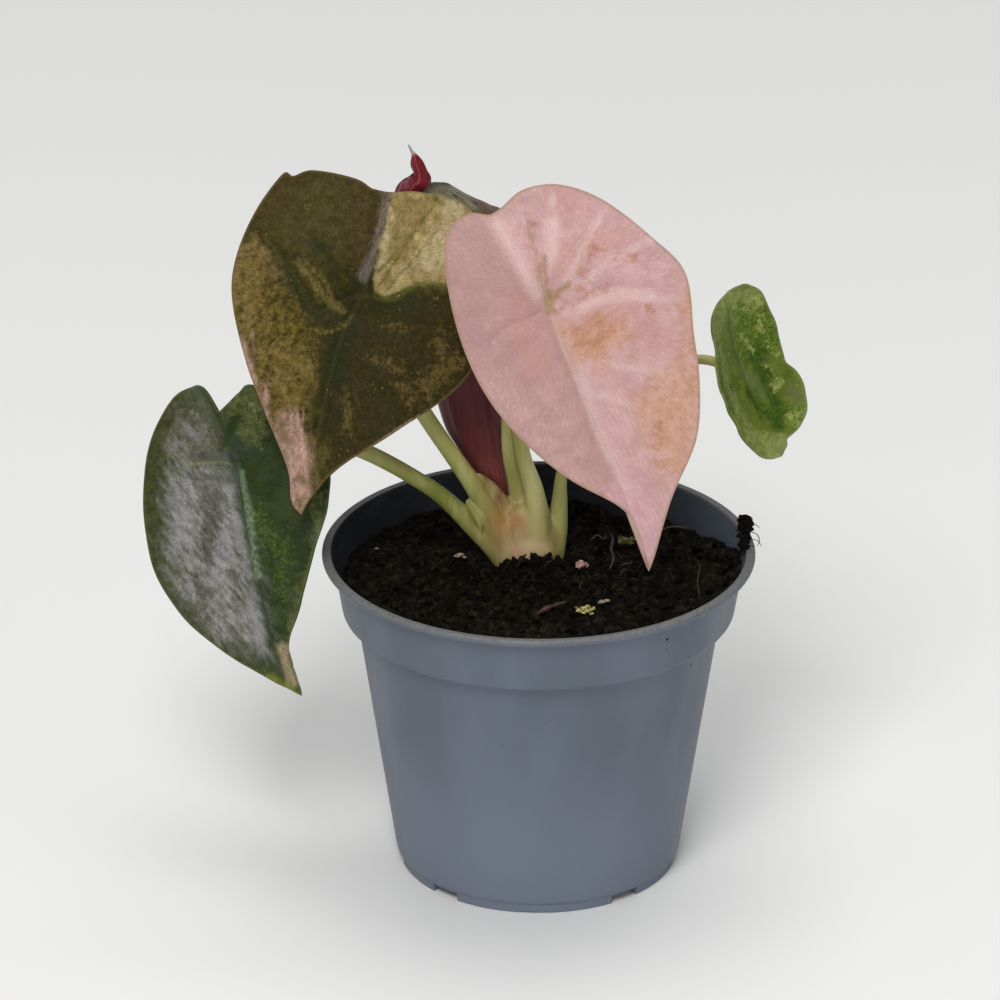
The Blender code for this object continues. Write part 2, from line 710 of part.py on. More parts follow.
def add_lump(name, centre, half_size, turn, colour):
    """A small rough lump with a flat underside."""
    shell = bmesh.new()
    bmesh.ops.create_icosphere(shell, subdivisions=2, radius=1.0)
    turn = math.radians(turn)
    points = []
    for vert in shell.verts:
        x, y, z = vert.co
        rough = 1 + 0.12 * math.sin(5 * x + 2 * y) * math.cos(4 * z + 3 * y)
        x, y, z = x * rough * half_size[0], y * rough * half_size[1], max(z, -0.6) * half_size[2]
        points.append(
            (
                centre[0] + x * math.cos(turn) - y * math.sin(turn),
                centre[1] + x * math.sin(turn) + y * math.cos(turn),
                centre[2] + z,
            )
        )
    faces = [tuple(vert.index for vert in face.verts) for face in shell.faces]
    shell.free()
    add_object(name, points, faces, colour, 0.8)


def add_soil_bits():
    for name, (x, y), half_size, turn, colour in SOIL_BITS:
        reach = max(half_size)
        steps = [-reach, -reach / 2, 0, reach / 2, reach]
        under = max(soil_height(x + a, y + b) for a in steps for b in steps)
        add_lump(name, (x, y, under + GAP + 0.6 * half_size[2]), half_size, turn, colour)
    x, y = RIM_CRUMB_PLACE
    seat = POT_HEIGHT + GAP + 0.6 * RIM_CRUMB_HALF_SIZE[2]
    add_lump("rim_crumb", (x, y, seat), RIM_CRUMB_HALF_SIZE, 15.0, SOIL_COLOUR)


def main():
    clear_scene()
    add_pot()
    add_soil()
    add_crown()
    for stalk in STALKS:
        add_stalk(stalk)
    for leaf in LEAVES:
        add_blade(leaf)
    add_new_leaf()
    add_soil_bits()


main()
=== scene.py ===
"""The looks of a potted alocasia: a young elephant-ear plant in a grower's pot.

Sizes and places are in millimetres, and MM turns them into Blender's metres. +Z is up, the
origin is the centre of the pot's underside, and the plant is seen from -Y. A blade's own
places are (across, along): across to the right as its upper face is seen, and along from
its hub, where the stalk joins it, towards its tip. Colours are written as they look, in
0 to 255, and rgb() makes them linear.
"""

import enum
import logging
import math
import random
from collections.abc import Sequence
from dataclasses import dataclass, field

import bpy
import numpy as np
from mathutils import Euler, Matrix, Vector
from mathutils import noise as hills


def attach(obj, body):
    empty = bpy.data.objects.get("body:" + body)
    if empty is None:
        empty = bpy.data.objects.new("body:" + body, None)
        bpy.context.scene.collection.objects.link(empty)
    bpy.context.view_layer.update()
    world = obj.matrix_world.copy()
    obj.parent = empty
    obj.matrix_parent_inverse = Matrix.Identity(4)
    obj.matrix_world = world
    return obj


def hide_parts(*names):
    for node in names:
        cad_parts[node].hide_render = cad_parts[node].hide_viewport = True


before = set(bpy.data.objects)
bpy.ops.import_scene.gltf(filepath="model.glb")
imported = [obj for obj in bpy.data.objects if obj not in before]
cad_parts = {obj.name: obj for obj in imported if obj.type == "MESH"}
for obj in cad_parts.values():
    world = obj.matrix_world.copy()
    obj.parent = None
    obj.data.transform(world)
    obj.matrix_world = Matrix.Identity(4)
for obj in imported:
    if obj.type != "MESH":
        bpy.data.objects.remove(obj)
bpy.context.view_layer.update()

LOG = logging.getLogger("potted_alocasia")
MM = 0.001
FULL_TURN = 2 * math.pi
UNIT_DISC = ((0.0, 0.0), (1 / MM, 0.0))

Array = np.ndarray
Material = bpy.types.Material
Node = bpy.types.Node
Piece = bpy.types.Object
Tree = bpy.types.NodeTree
Point = tuple[float, float]
Place = tuple[float, float, float]
Colour = tuple[float, float, float, float]


def rgb(red: float, green: float, blue: float) -> Colour:
    """A linear colour from one written as it looks, in 0 to 255."""
    parts = [value / 255 for value in (red, green, blue)]
    return (*(p / 12.92 if p <= 0.04045 else ((p + 0.055) / 1.055) ** 2.4 for p in parts), 1.0)


# Curves and fields


def rows_at(wanted: Array, along: Array, rows: Array) -> Array:
    """The rows, read at wanted lengths between the lengths at which they stand."""
    return np.column_stack([np.interp(wanted, along, column) for column in rows.T])


def smooth_curve(points: Sequence, steps: int, crowding: float = 1.0) -> Array:
    """A Catmull-Rom curve through points.

    Args:
        points: Points of any number of values each.
        steps: How many steps the curve is cut into.
        crowding: Over 1, the steps get shorter towards the curve's end.

    Returns:
        The steps + 1 points of the curve.
    """
    knots = np.array(points, float)
    ends = np.vstack([2 * knots[0] - knots[1], knots, 2 * knots[-1] - knots[-2]])
    t = np.linspace(0, 1, 16, endpoint=False)[:, None]
    pieces = [
        0.5 * (2 * b + (c - a) * t + (2 * a - 5 * b + 4 * c - d) * t**2 + (3 * b - a - 3 * c + d) * t**3)
        for a, b, c, d in zip(ends, ends[1:], ends[2:], ends[3:])
    ]
    dense = np.vstack([*pieces, knots[-1:]])
    along = lengths_along(dense)
    return rows_at(along[-1] * (1 - np.linspace(1, 0, steps + 1) ** crowding), along, dense)


def lengths_along(path: Array) -> Array:
    """The length along a path to each of its points."""
    return np.concatenate([[0], np.cumsum(np.linalg.norm(np.diff(path, axis=0), axis=1))])


def units(rows: Array) -> Array:
    """Each row, made of length 1."""
    return rows / np.linalg.norm(rows, axis=1)[:, None]


def distance_to_line(spots: Array, line: Array) -> Array:
    """How far each spot is from a line of straight steps.

    Args:
        spots: The spots, one to a row.
        line: The line's points, one to a row.

    Returns:
        The distance of each spot.
    """
    nearest = np.full(len(spots), np.inf)
    for start, end in zip(line, line[1:]):
        step = end - start
        share = np.clip((spots - start) @ step / max(step @ step, 1e-9), 0, 1)
        nearest = np.minimum(nearest, np.linalg.norm(spots - start - share[:, None] * step, axis=1))
    return nearest


def inside(spots: Array, corners: Array) -> Array:
    """Which spots lie inside a closed outline.

    Args:
        spots: The spots, one to a row.
        corners: The outline's corners, one to a row.

    Returns:
        True or false for each spot.
    """
    found = np.zeros(len(spots), bool)
    for (ax, ay), (bx, by) in zip(corners, np.roll(corners, -1, axis=0)):
        crosses = (ay > spots[:, 1]) != (by > spots[:, 1])
        with np.errstate(divide="ignore", invalid="ignore"):
            found ^= crosses & (spots[:, 0] < (bx - ax) * (spots[:, 1] - ay) / (by - ay) + ax)
    return found


def hill(x: float, y: float, z: float, size: float, octaves: int = 3) -> float:
    """Smooth seeded noise, about -1 to 1, with bumps of the given size in millimetres."""
    return hills.fractal(Vector((x, y, z)) / size, 0.9, 2.0, octaves)


def on_circle(radius: float, angle: float, height: float) -> Place:
    """A place on a circle about the pot's axis, in metres."""
    return radius * MM * math.cos(angle), radius * MM * math.sin(angle), height * MM


# Modelling by operator


def deselect_all() -> None:
    """Leave nothing selected, so that an operator acts only on what comes next."""
    if bpy.context.mode != "OBJECT":
        bpy.ops.object.mode_set(mode="OBJECT")
    bpy.ops.object.select_all(action="DESELECT")


def pick(*pieces: Piece) -> None:
    """Select just these pieces and make the first one active.

    Args:
        *pieces: The pieces.
    """
    deselect_all()
    for piece in pieces:
        piece.select_set(True)
    bpy.context.view_layer.objects.active = pieces[0]


def start_edit() -> None:
    """Edit the active piece, with all of it selected."""
    bpy.ops.object.mode_set(mode="EDIT")
    bpy.ops.mesh.select_all(action="SELECT")


def leave_edit(merge: float = 0.0) -> None:
    """Turn the edited piece's faces outwards and leave edit mode.

    Args:
        merge: The distance in millimetres under which its points are merged first.
    """
    bpy.ops.mesh.select_all(action="SELECT")
    if merge:
        bpy.ops.mesh.remove_doubles(threshold=merge * MM)
    bpy.ops.mesh.normals_make_consistent(inside=False)
    bpy.ops.object.mode_set(mode="OBJECT")


def face_out(piece: Piece) -> None:
    """Turn the faces of a closed piece outwards.

    Args:
        piece: The piece.
    """
    pick(piece)
    bpy.ops.object.mode_set(mode="EDIT")
    leave_edit()


def name_active(name: str) -> Piece:
    """Give the active object and its mesh a name.

    Args:
        name: The name.

    Returns:
        The object.
    """
    piece = bpy.context.object
    piece.name = piece.data.name = name
    return piece


def profile_line(name: str, points: Sequence[Place]) -> Piece:
    """A line of edges: one point, extruded from place to place.

    Args:
        name: The piece's name.
        points: The line's points, in millimetres.

    Returns:
        The object, in edit mode, with the whole line selected.
    """
    deselect_all()
    bpy.ops.mesh.primitive_plane_add(size=MM, location=(0, 0, 0))
    piece = name_active(name)
    start_edit()
    bpy.ops.mesh.merge(type="CENTER")
    bpy.ops.transform.translate(value=[MM * value for value in points[0]])
    for start, end in zip(points, points[1:]):
        step = [MM * (b - a) for a, b in zip(start, end)]
        bpy.ops.mesh.extrude_region_move(TRANSFORM_OT_translate={"value": step})
    bpy.ops.mesh.select_all(action="SELECT")
    return piece


def turned(name: str, profile: Sequence[Point], segments: int, rings: int = 1) -> Piece:
    """A round piece, spun from a profile.

    Args:
        name: The piece's name.
        profile: The profile as (radius, height).
        segments: How many steps the turn has.
        rings: How many parts each edge of the profile is cut into.

    Returns:
        The object, in object mode, with its faces outwards.
    """
    piece = profile_line(name, [(radius, 0.0, height) for radius, height in profile])
    if rings > 1:
        bpy.ops.mesh.subdivide(number_cuts=rings - 1)
        bpy.ops.mesh.select_all(action="SELECT")
    bpy.ops.mesh.spin(steps=segments, angle=FULL_TURN, center=(0, 0, 0), axis=(0, 0, 1))
    leave_edit(merge=0.01)
    return piece


def sleeve(name: str, sides: int, steps: int) -> Piece:
    """A closed tube of radius 1 m and height 1 m, to be shaped afterwards.

    Args:
        name: The piece's name.
        sides: How many sides it has.
        steps: How many even steps its height has.

    Returns:
        The object, in object mode.
    """
    deselect_all()
    bpy.ops.mesh.primitive_circle_add(vertices=sides, radius=1.0, fill_type="NGON")
    piece = name_active(name)
    bpy.ops.object.mode_set(mode="EDIT")
    for _ in range(steps):
        bpy.ops.mesh.extrude_region_move(TRANSFORM_OT_translate={"value": (0, 0, 1 / steps)})
    leave_edit()
    return piece


def points_of(piece: Piece) -> Array:
    """Read a piece's points.

    Args:
        piece: The piece.

    Returns:
        Its points, one to a row, in metres.
    """
    points = np.empty(3 * len(piece.data.vertices), np.float32)
    piece.data.vertices.foreach_get("co", points)
    return points.reshape(-1, 3).astype(float)


def put_points(piece: Piece, points: Array) -> None:
    """Move the piece's points to places in millimetres."""
    piece.data.vertices.foreach_set("co", (points * MM).astype(np.float32).ravel())
    piece.data.update()


def level_of(shape: Array, steps: int) -> Array:
    """The step of a sleeve's height at which each of its points lies."""
    return np.rint(shape[:, 2] * steps).astype(int)


def spoke_of(shape: Array, spokes: int) -> Array:
    """The spoke of a disc or a sleeve on which each of its points lies."""
    return np.rint(np.arctan2(shape[:, 1], shape[:, 0]) / FULL_TURN * spokes).astype(int) % spokes


def add_field(piece: Piece, name: str, values: Array) -> None:
    """Keep one value at each of the piece's points, for its material to read."""
    layer = piece.data.attributes.new(name, "FLOAT", "POINT")
    layer.data.foreach_set("value", values.astype(np.float32))


def add_paint(piece: Piece, name: str, colours: Array) -> None:
    """Keep one colour at each of the piece's points, for its material to read."""
    layer = piece.data.attributes.new(name, "FLOAT_COLOR", "POINT")
    layer.data.foreach_set("color", colours.astype(np.float32).ravel())


def add_uv(piece: Piece, name: str, places: Array, wraps: bool = False) -> None:
    """Add a UV map from a place at each point.

    Args:
        piece: The piece.
        name: The map's name.
        places: A (u, v) at each point.
        wraps: Whether u runs once round, from 0 to 1, so that one column of faces crosses its end.
    """
    loops = np.empty(len(piece.data.loops), np.int32)
    piece.data.loops.foreach_get("vertex_index", loops)
    values = places[loops]
    if wraps:
        starts = np.array([face.loop_start for face in piece.data.polygons])
        sizes = np.array([face.loop_total for face in piece.data.polygons])
        spans = np.maximum.reduceat(values[:, 0], starts) - np.minimum.reduceat(values[:, 0], starts)
        values[np.repeat(spans > 0.5, sizes) & (values[:, 0] < 0.5), 0] += 1.0
    piece.data.uv_layers.new(name=name).data.foreach_set("uv", values.astype(np.float32).ravel())


def apply_modifier(piece: Piece, kind: str, **settings: object) -> None:
    """Add a modifier to a piece and apply it.

    Args:
        piece: The piece.
        kind: The modifier's type.
        **settings: The modifier's settings.
    """
    pick(piece)
    modifier = piece.modifiers.new(kind.title(), kind)
    for key, value in settings.items():
        setattr(modifier, key, value)
    bpy.ops.object.modifier_apply(modifier=modifier.name)


def join_into(name: str, pieces: Sequence[Piece]) -> Piece:
    """Join pieces into one object.

    Args:
        name: Its name.
        pieces: The pieces, which it takes in.

    Returns:
        The object.
    """
    pick(*pieces)
    bpy.ops.object.join()
    return name_active(name)


def hand_over(
    piece: Piece, slot: str, *nodes: str, skin: Material | None = None, angle: float = 180.0
) -> None:
    """Dress a finished piece and set it on the part's body in place of its nodes.

    Args:
        piece: The finished piece.
        slot: The name of its material slot, which is only logged.
        *nodes: The CAD nodes that the piece stands for.
        skin: Its material, where it has none yet.
        angle: The angle between its faces, in degrees, up to which it is shaded smooth.
    """
    if skin:
        piece.data.materials.append(skin)
    pick(piece)
    if angle < 180:
        bpy.ops.object.shade_smooth_by_angle(angle=math.radians(angle))
    else:
        bpy.ops.object.shade_smooth()
    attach(piece, "root")
    if nodes:
        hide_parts(*nodes)
    triangles = sum(len(face.vertices) - 2 for face in piece.data.polygons)
    LOG.info("%s: %d triangles, slot %s, for %s", piece.name, triangles, slot, ", ".join(nodes) or "no node")


# Materials


class NodeSheet:
    """A short way to write a node tree."""

    def __init__(self, tree: Tree) -> None:
        """Write on the given tree."""
        self.tree = tree

    def add(self, kind: str, **settings: object) -> Node:
        """Add a node.

        Args:
            kind: Its type.
            **settings: Its settings.

        Returns:
            The node.
        """
        node = self.tree.nodes.new(kind)
        for key, value in settings.items():
            setattr(node, key, value)
        return node

    def put(self, socket: bpy.types.NodeSocket, value: object) -> None:
        """Link an output to a socket, or set the socket to a plain value.

        Args:
            socket: The input socket.
            value: The output or the value.
        """
        if isinstance(value, bpy.types.NodeSocket):
            self.tree.links.new(value, socket)
        else:
            socket.default_value = value

    def feed(self, node: Node, **given: object) -> Node:
        """Link or set inputs of a node.

        Args:
            node: The node.
            **given: A value for each input, named in words joined by underscores.

        Returns:
            The node.
        """
        for key, value in given.items():
            self.put(node.inputs[key.replace("_", " ")], value)
        return node

    def noise(self, place: object, scale: object, detail: float = 3.0, rough: float = 0.55) -> object:
        """Noise, about 0.3 to 0.7, of a scale, with finer layers of some roughness."""
        node = self.add("ShaderNodeTexNoise")
        return self.feed(node, Vector=place, Scale=scale, Detail=detail, Roughness=rough).outputs["Fac"]

    def stretch(self, place: object, scale: Place) -> object:
        """The coordinates, scaled along each axis."""
        return self.feed(self.add("ShaderNodeMapping"), Vector=place, Scale=scale).outputs["Vector"]

    def lay(self, place: object, angle: float, pull: float) -> object:
        """Coordinates with a grain, for noise that runs one way.

        Args:
            place: The plain coordinates.
            angle: The grain's angle in degrees.
            pull: How far the noise is pulled out along the grain.

        Returns:
            The coordinates.
        """
        turn, scale = (0.0, 0.0, math.radians(angle)), (1.0, pull, 1.0)
        node = self.add("ShaderNodeMapping", vector_type="TEXTURE")
        return self.feed(node, Vector=place, Rotation=turn, Scale=scale).outputs["Vector"]

    def span(self, value: object, low: object, high: object, start: float = 0.0, end: float = 1.0) -> object:
        """Map a value smoothly from one range to another.

        Args:
            value: The value.
            low: Where its range starts.
            high: Where its range ends.
            start: What the range's start becomes.
            end: What the range's end becomes.

        Returns:
            The mapped value.
        """
        node = self.add("ShaderNodeMapRange", interpolation_type="SMOOTHSTEP")
        self.feed(node, Value=value, From_Min=low, From_Max=high, To_Min=start, To_Max=end)
        return node.outputs["Result"]

    def sum(self, operation: str, first: object, second: object = 0.0) -> object:
        """One step of arithmetic on two values.

        Args:
            operation: The step.
            first: The first value.
            second: The second value.

        Returns:
            The result.
        """
        node = self.add("ShaderNodeMath", operation=operation)
        self.put(node.inputs[0], first)
        self.put(node.inputs[1], second)
        return node.outputs[0]

    def times(self, first: object, second: object) -> object:
        """The product of two values."""
        return self.sum("MULTIPLY", first, second)

    def plus(self, first: object, second: object) -> object:
        """The sum of two values."""
        return self.sum("ADD", first, second)

    def minus(self, first: object, second: object) -> object:
        """The difference of two values."""
        return self.sum("SUBTRACT", first, second)

    def blend(self, factor: object, first: object, second: object, mode: str = "MIX") -> object:
        """Mix two colours.

        Args:
            factor: The share of the second one.
            first: The first colour.
            second: The second colour.
            mode: How they are mixed.

        Returns:
            The mixed colour.
        """
        node = self.add("ShaderNodeMix", data_type="RGBA", blend_type=mode)
        for socket, value in zip((0, 6, 7), (factor, first, second)):
            self.put(node.inputs[socket], value)
        return node.outputs[2]

    def field(self, name: str) -> object:
        """The value that the piece keeps at each point under a name."""
        return self.add("ShaderNodeAttribute", attribute_name=name).outputs["Fac"]

    def paint(self, name: str) -> object:
        """The colour that the piece keeps at each point under a name."""
        return self.add("ShaderNodeAttribute", attribute_name=name).outputs["Color"]

    def uv(self, name: str) -> object:
        """A UV map's coordinates."""
        return self.add("ShaderNodeUVMap", uv_map=name).outputs["UV"]

    def place(self) -> object:
        """The place on the object, in metres."""
        return self.add("ShaderNodeTexCoord").outputs["Object"]

    def axis(self, place: object, name: str) -> object:
        """One axis of a place, in millimetres."""
        node = self.feed(self.add("ShaderNodeSeparateXYZ"), Vector=place)
        return self.sum("DIVIDE", node.outputs[name], MM)

    def near(self, place: object, spot: Place, radius: float) -> object:
        """How near a place is to a spot.

        Args:
            place: The place, in metres.
            spot: The spot, in millimetres.
            radius: The distance in millimetres about which the nearness fades.

        Returns:
            1 at the spot, and 0 away from it.
        """
        node = self.add("ShaderNodeVectorMath", operation="DISTANCE")
        self.put(node.inputs[0], place)
        self.put(node.inputs[1], [MM * value for value in spot])
        return self.span(node.outputs["Value"], 1.3 * radius * MM, 0.7 * radius * MM)

    def bump(self, height: object, strength: float, depth: float) -> object:
        """A normal from a height, with the depth of its full step in millimetres."""
        node = self.add("ShaderNodeBump")
        return self.feed(node, Strength=strength, Distance=depth * MM, Height=height).outputs["Normal"]

    def group(self, tree: Tree, **given: object) -> object:
        """Place a node group with its inputs, and return its outputs."""
        return self.feed(self.add("ShaderNodeGroup", node_tree=tree), **given).outputs


def start_group(name: str, inputs: dict[str, str], outputs: dict[str, str]) -> tuple:
    """Start a shader node group.

    Args:
        name: The group's name.
        inputs: For each kind, Color, Vector or Float, the names of its inputs.
        outputs: The same for the outputs.

    Returns:
        The group's sheet, the sockets that bring its inputs, and its output node.
    """
    tree = bpy.data.node_groups.new(name, "ShaderNodeTree")
    for direction, sockets in (("INPUT", inputs), ("OUTPUT", outputs)):
        for kind, names in sockets.items():
            for socket in names.split():
                tree.interface.new_socket(name=socket, in_out=direction, socket_type=f"NodeSocket{kind}")
    sheet = NodeSheet(tree)
    return sheet, sheet.add("NodeGroupInput").outputs, sheet.add("NodeGroupOutput")


def ragged_marking_group() -> Tree:
    """A marking with a ragged edge and two mottled tones, laid over a colour.

    Returns:
        The group.
    """
    numbers = "Depth Ragged Grain Softness Strength"
    inputs = {"Color": "Colour Marking Second", "Vector": "Place", "Float": numbers}
    sheet, given, result = start_group("Ragged marking", inputs, {"Color": "Colour"})
    place, grain, softness = given["Place"], given["Grain"], given["Softness"]
    swing = sheet.times(sheet.minus(sheet.noise(place, grain, 9.0, 0.68), 0.5), given["Ragged"])
    edge = sheet.plus(given["Depth"], sheet.times(swing, 5.0))
    mask = sheet.times(sheet.span(edge, sheet.times(softness, -1.0), softness), given["Strength"])
    tones = sheet.span(sheet.noise(place, sheet.times(grain, 1.9), 10.0, 0.74), 0.38, 0.62)
    marking = sheet.blend(tones, given["Marking"], given["Second"])
    sheet.feed(result, Colour=sheet.blend(mask, given["Colour"], marking))
    return sheet.tree


def freckle_group() -> Tree:
    """Small uneven freckles of one colour in loose drifts, laid over another.

    Returns:
        The group.
    """
    inputs = {"Color": "Colour Freckle", "Vector": "Place", "Float": "Scale Share"}
    sheet, given, result = start_group("Freckles", inputs, {"Color": "Colour"})
    fine = sheet.noise(given["Place"], given["Scale"], 3.0, 0.6)
    broad = sheet.noise(given["Place"], sheet.times(given["Scale"], 0.12), 3.0, 0.6)
    height = sheet.plus(fine, sheet.times(sheet.minus(broad, 0.5), 0.5))
    low = sheet.minus(0.8, given["Share"])
    mask = sheet.span(height, low, sheet.plus(low, 0.05))
    sheet.feed(result, Colour=sheet.blend(mask, given["Colour"], given["Freckle"]))
    return sheet.tree


def streak_group() -> Tree:
    """Fine streaks that lighten and darken a colour and stand out a little.

    Returns:
        The group.
    """
    inputs = {"Color": "Colour", "Vector": "Place", "Float": "Amount"}
    sheet, given, result = start_group("Streaks", inputs, {"Color": "Colour", "Float": "Height"})
    lines = sheet.noise(given["Place"], 1.0, 5.0, 0.7)
    dark = sheet.times(sheet.span(lines, 0.5, 0.3), given["Amount"])
    light = sheet.times(sheet.span(lines, 0.5, 0.7), given["Amount"])
    darker = sheet.blend(dark, given["Colour"], (0.35, 0.35, 0.33, 1.0), "MULTIPLY")
    sheet.feed(result, Colour=sheet.blend(light, darker, (2.0, 2.0, 1.9, 1.0), "MULTIPLY"), Height=lines)
    return sheet.tree


class Effects:
    """The node groups that the materials share, each built once."""

    def __init__(self) -> None:
        """Build the groups."""
        self.marking = ragged_marking_group()
        self.freckles = freckle_group()
        self.streaks = streak_group()


def start_material(name: str, roughness: float) -> tuple[Material, NodeSheet, Node]:
    """Start a material.

    Args:
        name: The material's name.
        roughness: Its plain roughness.

    Returns:
        The material, its sheet and its Principled shader.
    """
    material = bpy.data.materials.new(name)
    material.use_nodes = True
    sheet = NodeSheet(material.node_tree)
    return material, sheet, sheet.feed(material.node_tree.nodes["Principled BSDF"], Roughness=roughness)


@dataclass(frozen=True)
class Stroke:
    """A mark drawn along a line on a blade."""

    points: tuple[Point, ...]
    width: float

    def depth(self, spots: Array) -> Array:
        """How deep inside the mark each spot lies.

        Args:
            spots: The spots, one to a row.

        Returns:
            The depth of each in millimetres, negative outside the mark.
        """
        line = np.array(self.points, float)
        if len(line) > 2:
            line = smooth_curve(line, 6 * len(line))
        return self.width / 2 - distance_to_line(spots, line)


@dataclass(frozen=True)
class Area:
    """A mark that fills an outline on a blade."""

    points: tuple[Point, ...]

    def depth(self, spots: Array) -> Array:
        """How deep inside the mark each spot lies.

        Args:
            spots: The spots, one to a row.

        Returns:
            The depth of each in millimetres, negative outside the mark.
        """
        corners = np.array(self.points, float)
        edge = distance_to_line(spots, np.vstack([corners, corners[:1]]))
        return np.where(inside(spots, corners), edge, -edge)


@dataclass(frozen=True)
class Marking:
    """One marking of a blade: where it lies, its two tones and how ragged its edge is."""

    name: str
    marks: tuple[Stroke | Area, ...]
    colour: Colour
    second: Colour
    ragged: float = 2.0
    grain: float = 0.3
    softness: float = 1.6
    strength: float = 0.85
    angle: float = 0.0
    pull: float = 1.0

    def depth(self, spots: Array) -> Array:
        """How deep inside the nearest of its marks each spot lies, in millimetres."""
        return np.maximum.reduce([mark.depth(spots) for mark in self.marks])


@dataclass(frozen=True)
class BladeFinish:
    """How a blade's skin looks: its ground tones, veins, rim, markings and gloss."""

    slot: str
    base: Colour
    shade: Colour
    under: Colour
    vein: Colour
    rim: Colour
    markings: tuple[Marking, ...]
    freckle: Colour
    vein_strength: float = 0.12
    rim_width: float = 0.5
    rim_strength: float = 0.3
    roughness: float = 0.42
    gloss: float = 0.12
    coat: float = 0.0
    streaks: float = 0.25
    grain: float = 0.34
    freckle_scale: float = 1.2
    freckle_share: float = 0.08
    glow: float = 0.0

    def material(self, name: str, effects: Effects, underside: bool) -> Material:
        """Make the skin of one face.

        Args:
            name: The blade's name.
            effects: The shared node groups.
            underside: Whether this is the duller lower face.

        Returns:
            The material.
        """
        label = f"{name} {'underside' if underside else 'upper face'}"
        material, sheet, shader = start_material(label, self.roughness)
        place = sheet.uv("blade")
        spread = sheet.stretch(sheet.uv("spread"), (300.0, 14.0, 1.0))
        colour = sheet.blend(sheet.span(sheet.noise(place, 0.1, 9.0, 0.7), 0.4, 0.6), self.base, self.shade)
        for marking in self.markings:
            colour = sheet.group(
                effects.marking, Colour=colour, Marking=marking.colour, Second=marking.second,
                Depth=sheet.field(marking.name), Place=sheet.lay(place, marking.angle, marking.pull),
                Ragged=marking.ragged, Grain=marking.grain, Softness=marking.softness,
                Strength=marking.strength,
            )["Colour"]
        veins = min(self.vein_strength * (3.0 if underside else 1.0), 0.9)
        near_vein = sheet.span(sheet.field("vein"), 1.0, 0.1)
        colour = sheet.blend(sheet.times(near_vein, veins), colour, self.vein)
        colour = sheet.group(
            effects.freckles, Colour=colour, Freckle=self.freckle, Place=place, Scale=self.freckle_scale,
            Share=self.freckle_share,
        )["Colour"]
        streaked = sheet.group(effects.streaks, Colour=colour, Place=spread, Amount=self.streaks)
        fine = sheet.stretch(place, (2.2, 2.2, 1.0))
        grained = sheet.group(effects.streaks, Colour=streaked["Colour"], Place=fine, Amount=self.grain)
        edge = sheet.plus(sheet.field("margin"), sheet.times(sheet.noise(place, 0.5), -0.6))
        at_rim = sheet.times(sheet.span(edge, self.rim_width, 0.0), self.rim_strength)
        colour = sheet.blend(at_rim, grained["Colour"], self.rim)
        if underside:
            colour = sheet.blend(0.7, colour, self.under)
        low = self.roughness + (0.12 if underside else -0.08)
        roughness = sheet.span(sheet.noise(place, 0.3, 5.0), 0.3, 0.7, low, low + 0.2)
        relief = sheet.plus(streaked["Height"], sheet.times(grained["Height"], 0.8))
        sheet.feed(
            shader, Base_Color=colour, Roughness=roughness, Normal=sheet.bump(relief, 0.5, 0.16),
            Specular_IOR_Level=self.gloss, Coat_Weight=0.0 if underside else self.coat, Coat_Roughness=0.25,
            Subsurface_Weight=self.glow, Subsurface_Radius=(0.003, 0.002, 0.001), Subsurface_Scale=0.3,
        )
        return material


